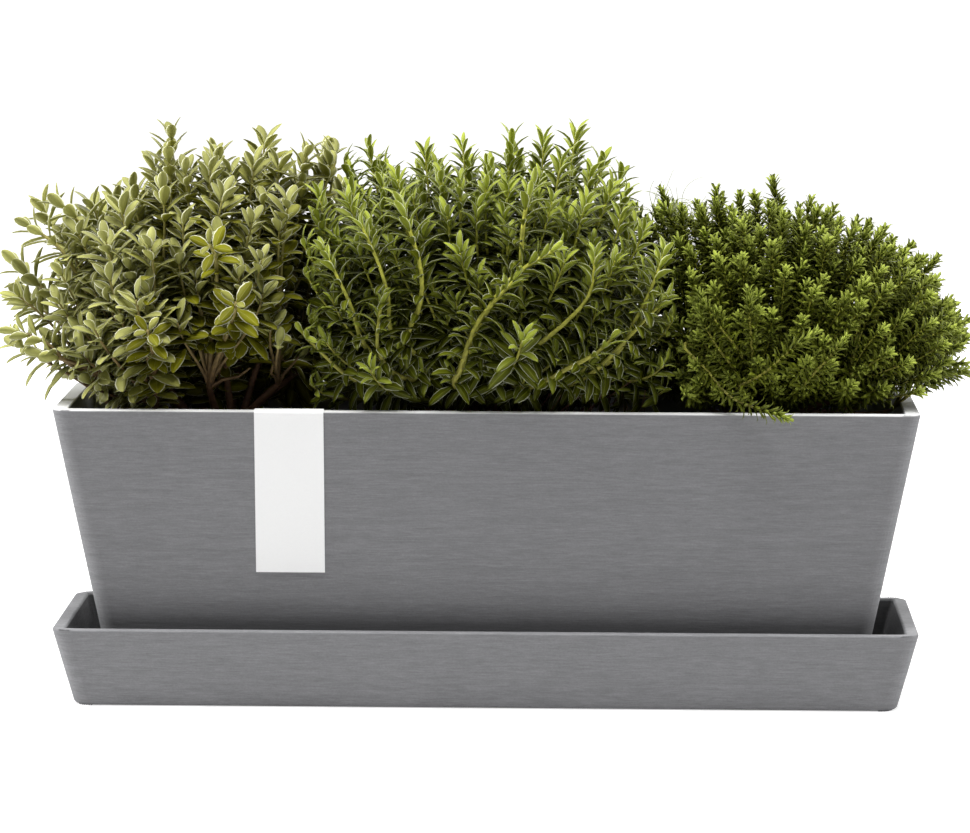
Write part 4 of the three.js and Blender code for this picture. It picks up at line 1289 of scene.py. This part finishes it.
def leaf_tone_group():
    """Masks of a leaf from its own map: pale margin, midrib, youth near the tip and mottling."""
    widths, masks = ["Margin Width", "Rib Width"], ["Margin", "Rib", "Youth", "Mottle"]
    tree, given, result = new_group("leaf_tone", widths, masks)

    def of_leaf(name):
        """A value that each leaf has as a whole."""
        return add_node(tree, "Attribute", {}, attribute_name=name).outputs["Fac"]

    def fading(value, width):
        """One at zero, softly falling to zero at a width."""
        rising = map_range(tree, value, (0, width), interpolation_type="SMOOTHSTEP")
        return maths(tree, "SUBTRACT", 1, rising)

    leaf_map = add_node(tree, "UVMap", {}, uv_map="leaf").outputs["UV"]
    across = add_node(tree, "SeparateXYZ", {"Vector": leaf_map}).outputs["X"]
    off_middle = maths(tree, "ABSOLUTE", maths(tree, "SUBTRACT", across, 0.5))
    off_rib = maths(tree, "MULTIPLY", off_middle, 2)
    spots = speckle(tree, object_place(tree), SPOT_SCALE, Detail=3)
    tint = maths(tree, "MULTIPLY", of_leaf("tint"), TINT_SHARE)
    fill(tree, result, {
        "Margin": fading(maths(tree, "SUBTRACT", 1, off_rib), given.outputs["Margin Width"]),
        "Rib": fading(off_rib, given.outputs["Rib Width"]),
        "Youth": fading(of_leaf("age"), YOUNG_AGE),
        "Mottle": maths(tree, "ADD", tint, maths(tree, "MULTIPLY", spots, 1 - TINT_SHARE)),
    })
    return tree


leaf_tone = leaf_tone_group()


def leaf_material(name, old, young, edge, margin_width, margin_share, rib_width, roughness):
    """A leaf that goes from old to young colour, mottled from leaf to leaf, with a pale margin."""
    material, tree, shader = new_material(name)
    widths = {"Margin Width": margin_width, "Rib Width": rib_width}
    tone = add_node(tree, "Group", widths, node_tree=leaf_tone).outputs
    rib = maths(tree, "MULTIPLY", tone["Rib"], RIB_SHARE)
    margin = maths(tree, "MULTIPLY", tone["Margin"], margin_share)
    mottle = mix_colours(tree, tone["Mottle"], MOTTLE_DARK, MOTTLE_PALE)
    body = mix_colours(tree, tone["Youth"], old, young)
    body = mix_colours(tree, 1, body, mottle, "MULTIPLY")
    body = mix_colours(tree, rib, body, young)
    body = mix_colours(tree, margin, body, edge)
    gloss = [roughness + change for change in GLOSS_VARIES]
    fill(tree, shader, {
        "Base Color": body,
        "Roughness": map_range(tree, tone["Mottle"], (0, 1), gloss),
        "Specular IOR Level": 0.15,
        "Normal": relief(tree, tone["Rib"], strength=0.4, distance=0.0003),
    })
    return material


BARK_SPECKLE = 320
BARK_MOTTLE = ((0.3, 0.7), (0.6, 1.3))  # span of the noise, and what it does to the colour


def stem_material(name, low, high, levels):
    """Bark or green stem: mottled, with a colour that changes between two levels of the plant."""
    material, tree, shader = new_material(name)
    body = mix_colours(tree, map_range(tree, place_height(tree), levels), low, high)
    mottle = speckle(tree, object_place(tree), BARK_SPECKLE, Detail=4)
    shade = map_range(tree, mottle, *BARK_MOTTLE)
    fill(tree, shader, {
        "Base Color": mix_colours(tree, 1, body, shade, "MULTIPLY"),
        "Roughness": 0.7,
        "Normal": relief(tree, mottle, strength=0.5, distance=0.0006),
    })
    return material


STOUT = 1.5  # how many times as thick the stems are that are seen from foot to tip
STEM_FOOT, STEM_TIP = 1.35, 0.6  # shares of its radius at the ends of a stem


def woody_parts(side, branches, shoots, leading, branch_radius, shoot_radius, bark, green):
    """The branches of a crown, which stand for its CAD stems, and its thinner green shoots."""
    branch_radii = (branch_radius, branch_radius * STEM_TIP)
    wood = tubes("branches_" + side, [tapering(path, branch_radii) for path in branches])
    wood.data.materials.append(bark)
    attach(wood, "shrub_" + side)
    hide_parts("stems_" + side)
    shoot_paths = []
    for some, radius in ((shoots, shoot_radius), (leading, shoot_radius * STOUT)):
        radii = (radius * STEM_FOOT, radius * STEM_TIP)
        shoot_paths += [tapering(evenly_spaced(shoot, STEM_STEP), radii) for shoot in some]
    stems = tubes("green_stems_" + side, shoot_paths, sides=0)
    stems.data.materials.append(green)
    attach(stems, "shrub_" + side)


rng = np.random.default_rng(LEFT_SEED)
left_branches, left_shoots, left_leading, left_facing = grow_crown(LEFT_CROWN, rng)
oval_leaf = leaf_form(4, OVAL_STATIONS, thickness=0.06, fold=0.26, lift=0.10, droop=0.18)
shaded_shoots = [shoot for shoot in left_shoots if shoot[-1][0] >= PAINTED_LIGHT_END]
painted_light_shoots = [shoot for shoot in left_shoots if shoot[-1][0] < PAINTED_LIGHT_END]
left_batches = [
    outside_clearing(leaves_on("left", shaded_shoots, LEFT_HABIT, rng), *LEFT_CLEARING),
    leaves_on("left", painted_light_shoots, PAINTED_LIGHT_HABIT, rng),
    leaves_on("left", left_leading, PAINTED_LIGHT_HABIT, rng),
    leaves_on("left", left_facing, FACING_HABIT, rng),
]
oval_green = leaf_material(
    "oval_leaf", LEFT_OLD, LEFT_YOUNG, LEFT_EDGE,
    margin_width=0.22, margin_share=0.95, rib_width=0.10, roughness=0.55,
)
foliage("left", "leaves_left", oval_leaf, left_batches, oval_green, rng)
brown_bark = stem_material("brown_bark", BARK_LOW, BARK_HIGH, levels=(0.165, 0.26))
olive_stem = stem_material("olive_stem", OLIVE_LOW, OLIVE_HIGH, levels=(0.20, 0.31))
woody_parts(
    "left", left_branches, left_shoots, left_leading + left_facing,
    branch_radius=0.0032, shoot_radius=0.0011, bark=brown_bark, green=olive_stem,
)


# Middle shrub: narrow dark glossy leaves with a thin pale edge, partly a painted highlight, in
# crossed pairs close along strong yellow-green shoots, with lime tips. Its outer shoots arch out to
# the front and sides, and a few dead twigs lie at its foot.
MIDDLE_LEADERS = [
    (-77, 10, 347), (-92, 25, 335), (-41, 10, 344), (-17, 0, 350), (14, 10, 353), (34, 20, 352),
    (55, 10, 357), (72, 0, 340), (84, 10, 331), (-25, -55, 310), (23, -95, 236), (-72, -85, 216),
    (92, -30, 301), (95, -20, 225), (90, 10, 240), (100, -45, 235), (-95, -40, 214),
    (-90, -10, 217), (-94, 20, 302), (-92, 30, 272), (-90, 40, 245), (-86, 55, 300),
]
MIDDLE_ROUTES = [
    [(-57, -66, 233), (-61, -79, 262), (-68, -82, 285), (-78, -82, 307)],
    [(-76, -66, 230), (-83, -76, 252), (-91, -79, 270), (-101, -79, 290)],
    [(-49, -66, 230), (-41, -78, 257), (-41, -81, 281), (-52, -78, 316)],
    [(21, -60, 258), (22, -74, 292), (24, -75, 314), (28, -70, 329)],
    [(-55, -62, 210), (-67, -78, 227), (-67, -83, 245), (-64, -84, 262)],
    [(-19, -66, 204), (-15, -80, 218), (-5, -84, 246), (17, -86, 272)],
    [(-10, -66, 227), (6, -79, 261), (22, -84, 279), (43, -84, 292)],
    [(28, -66, 226), (52, -78, 248), (65, -81, 265), (68, -80, 288)],
    [(28, -66, 204), (53, -78, 218), (69, -82, 227), (80, -84, 238)],
    [(78, -66, 221), (94, -77, 249), (104, -80, 270), (111, -78, 290)],
    [(65, -66, 212), (90, -79, 238), (102, -81, 251), (114, -80, 263)],
    [(-84, -60, 208), (-99, -67, 221), (-109, -69, 231), (-119, -71, 240)],
]
MIDDLE_CROWN = {
    "side": "middle",
    "foot": 0.0,
    "skyline": [
        (-98, 341, 84), (-60, 343, 86), (0, 351, 86), (56, 350, 86), (76, 335, 86), (98, 323, 84),
    ],
    "waist": 0.242,
    "hem": 0.196,
    "front_hem": 0.200,
    "branches": 12,
    "reach": 0.5,
    "leaders": MIDDLE_LEADERS,
    "routes": MIDDLE_ROUTES,
    "facing": [],
    "fillers": 400,
    "spacing": 0.0135,
    "upright": 1.0,
}
MIDDLE_SEED = 202
MIDDLE_HABIT = {
    "leafy": 0.110,
    "gaps": (0.0034, 0.0062),
    "count": 2,
    "size": 0.0195,
    "young_size": 0.62,
    "spread": (0.36, 1.25),
    "stem": 0.0010,
    "skyward": 0.15,
    "aging": (0.0, 1.0),
}
LANCE_STATIONS = [(0.0, 0.0), (0.14, 0.080), (0.40, 0.148), (0.68, 0.146), (0.89, 0.088), (1.0, 0.0)]
MIDDLE_OLD = (0.072, 0.083, 0.001)
MIDDLE_YOUNG = (0.340, 0.393, 0.048)
# Pale leaf margin, painted brighter: partly a painted highlight where the edges catch light.
MIDDLE_EDGE_HIGHLIGHT = (0.84, 0.87, 0.66)
LIME_LOW, LIME_HIGH = (0.16, 0.14, 0.025), (0.46, 0.46, 0.055)
TWIG_COUNT = 40
TWIG_COLLAR = 0.024  # how far from the middle of the shrub the dead twigs start, at most
TWIG_TIPS = ((0.046, 0.106), (-0.066, -0.036), (0.178, 0.208))  # where they end, at the shrub's foot
TWIG_FEET = (0.6, 1.0)  # shares of that distance
TWIG_RISE = 0.2  # how far they rise at first
TWIG_BEND = ((-0.3, 1.0), (0.2, 1.0))  # how far their ends go on outwards, and turn up
TWIG_RADII = (0.0007, 0.0002)
TWIG_LOW, TWIG_HIGH = (0.085, 0.035, 0.024), (0.24, 0.11, 0.075)
rng = np.random.default_rng(MIDDLE_SEED)
middle_branches, middle_shoots, middle_leading, _ = grow_crown(MIDDLE_CROWN, rng)
lance_leaf = leaf_form(4, LANCE_STATIONS, thickness=0.05, fold=0.30, lift=0.22, droop=0.46)
lance_green = leaf_material(
    "lance_leaf", MIDDLE_OLD, MIDDLE_YOUNG, MIDDLE_EDGE_HIGHLIGHT,
    margin_width=0.19, margin_share=0.88, rib_width=0.14, roughness=0.38,
)
middle_batches = [leaves_on("middle", middle_shoots + middle_leading, MIDDLE_HABIT, rng)]
foliage("middle", "leaves_middle", lance_leaf, middle_batches, lance_green, rng)
lime_stem = stem_material("lime_stem", LIME_LOW, LIME_HIGH, levels=(0.18, 0.27))
woody_parts(
    "middle", middle_branches, middle_shoots, middle_leading,
    branch_radius=0.0028, shoot_radius=0.0012, bark=brown_bark, green=lime_stem,
)
paths = []
for _ in range(TWIG_COUNT):
    tip = np.array([rng.uniform(*ends) for ends in TWIG_TIPS])
    outward = unit(tip * [1, 1, 0])
    foot = TWIG_COLLAR * rng.uniform(*TWIG_FEET) * outward + (SOIL_TOP + COLLAR_RISE) * UP
    leave = unit(outward + TWIG_RISE * UP)
    onward, upward = (rng.uniform(*ends) for ends in TWIG_BEND)
    arrive = unit(outward * onward + upward * UP)
    paths.append(tapering(smooth_path(foot, leave, arrive, tip, BRANCH_STEP), TWIG_RADII))
dead_twigs = tubes("dead_twigs", paths, sides=0)
dead_wood = stem_material("dead_wood", TWIG_LOW, TWIG_HIGH, levels=(0.165, 0.205))
dead_twigs.data.materials.append(dead_wood)
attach(dead_twigs, "shrub_middle")


# Right shrub: a dense dome of short needle-leaved twigs, mid green with brighter tips. One twig
# hangs over the front rim of the pot, and a few dry hairs stand up out of the crown.
RIGHT_LEADERS = [
    (181, 0, 327), (145, 0, 321), (111, 10, 320), (204, -5, 315), (219, 0, 310), (233, 5, 300),
    (251, 0, 297), (261, -10, 282), (283, 0, 278), (283, 10, 259), (304, 0, 241), (304, -20, 210),
    (297, 10, 222), (282, -30, 204), (120, -30, 240), (113, 0, 235), (126, -45, 225),
    (110, 12, 260), (108, 25, 230), (124, -40, 208), (118, -10, 215), (134, -60, 206),
    (130, -55, 245), (120, -25, 270),
]
RIGHT_ROUTES = [
    [(122, -54, 231), (138, -76, 217), (147, -82, 206), (158, -89, 198), (185, -97, 190)],
    [(157, -64, 204), (174, -79, 215), (190, -84, 230), (202, -86, 239)],
    [(157, -62, 214), (146, -76, 229), (138, -80, 242), (134, -81, 251)],
    [(161, -62, 223), (149, -77, 240), (138, -81, 255), (134, -81, 263)],
    [(167, -62, 220), (165, -78, 244), (164, -81, 264)],
    [(198, -64, 205), (206, -78, 216), (215, -82, 226), (223, -83, 236)],
]
RIGHT_CROWN = {
    "side": "right",
    "foot": SHRUB_PITCH,
    "skyline": [
        (100, 313, 84), (150, 317, 87), (182, 321, 88), (215, 309, 88), (250, 297, 86), (275, 283, 80),
        (293, 256, 68), (302, 228, 46),
    ],
    "waist": 0.226,
    "hem": 0.193,
    "front_hem": 0.197,
    "branches": 30,
    "reach": 0.72,
    "leaders": RIGHT_LEADERS,
    "routes": RIGHT_ROUTES,
    "facing": [],
    "fillers": 1500,
    "spacing": 0.0110,
    "upright": 0.3,
}
RIGHT_SEED = 303
RIGHT_HABIT = {
    "leafy": 0.036,
    "gaps": (0.0020, 0.0033),
    "count": 4,
    "size": 0.0094,
    "young_size": 0.85,
    "spread": (0.50, 1.15),
    "stem": 0.0004,
    "skyward": 0.0,
    "aging": (0.0, 1.0),
}
SPRIG_HABIT = {**RIGHT_HABIT, "leafy": 0.075, "gaps": (0.0020, 0.0040)}
NEEDLE_STATIONS = [(0.0, 0.0), (0.30, 0.140), (0.82, 0.145), (1.0, 0.0)]
RIGHT_OLD = (0.087, 0.103, 0.001)
RIGHT_YOUNG = (0.360, 0.424, 0.066)
RIGHT_EDGE = (0.38, 0.42, 0.18)
HAIR_COUNT = 24
HAIR_FEET = ((0.104, 0.134), (0.0, 0.030), (0.302, 0.312))  # where the dry hairs start
HAIR_STEPS, HAIR_STEP = (6, 10), 0.0032
HAIR_LEAN, HAIR_CURL, HAIR_BACK = 0.4, 0.45, 0.1  # how they lean, curl and go to the back
HAIR_RADII = (0.00028, 0.00014)
HAIR_LOW, HAIR_HIGH = (0.24, 0.26, 0.11), (0.52, 0.56, 0.34)
rng = np.random.default_rng(RIGHT_SEED)
right_branches, right_shoots, right_sprigs, _ = grow_crown(RIGHT_CROWN, rng)
needle_leaf = leaf_form(3, NEEDLE_STATIONS, thickness=0.12, fold=0.15, lift=0.12, droop=0.12)
needle_green = leaf_material(
    "needle_leaf", RIGHT_OLD, RIGHT_YOUNG, RIGHT_EDGE,
    margin_width=0.4, margin_share=0.3, rib_width=0.3, roughness=0.5,
)
right_batches = [
    leaves_on("right", right_shoots, RIGHT_HABIT, rng),
    leaves_on("right", right_sprigs, SPRIG_HABIT, rng),
]
foliage("right", "needles", needle_leaf, right_batches, needle_green, rng)
woody_parts(
    "right", right_branches, right_shoots, right_sprigs,
    branch_radius=0.0022, shoot_radius=0.0007, bark=brown_bark, green=lime_stem,
)
paths = []
for _ in range(HAIR_COUNT):
    point = np.array([rng.uniform(*ends) for ends in HAIR_FEET])
    lean, curl, points = rng.normal(0, HAIR_LEAN), rng.normal(0, HAIR_CURL), []
    for _ in range(int(rng.uniform(*HAIR_STEPS))):
        points.append(point)
        point = point + HAIR_STEP * np.array([math.sin(lean), HAIR_BACK, math.cos(lean)])
        lean += curl
    paths.append(tapering(points, HAIR_RADII))
dry_hairs = tubes("dry_hairs", paths, sides=0)
dry_hair = stem_material("dry_hair", HAIR_LOW, HAIR_HIGH, levels=(0.29, 0.33))
dry_hairs.data.materials.append(dry_hair)
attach(dry_hairs, "shrub_right")
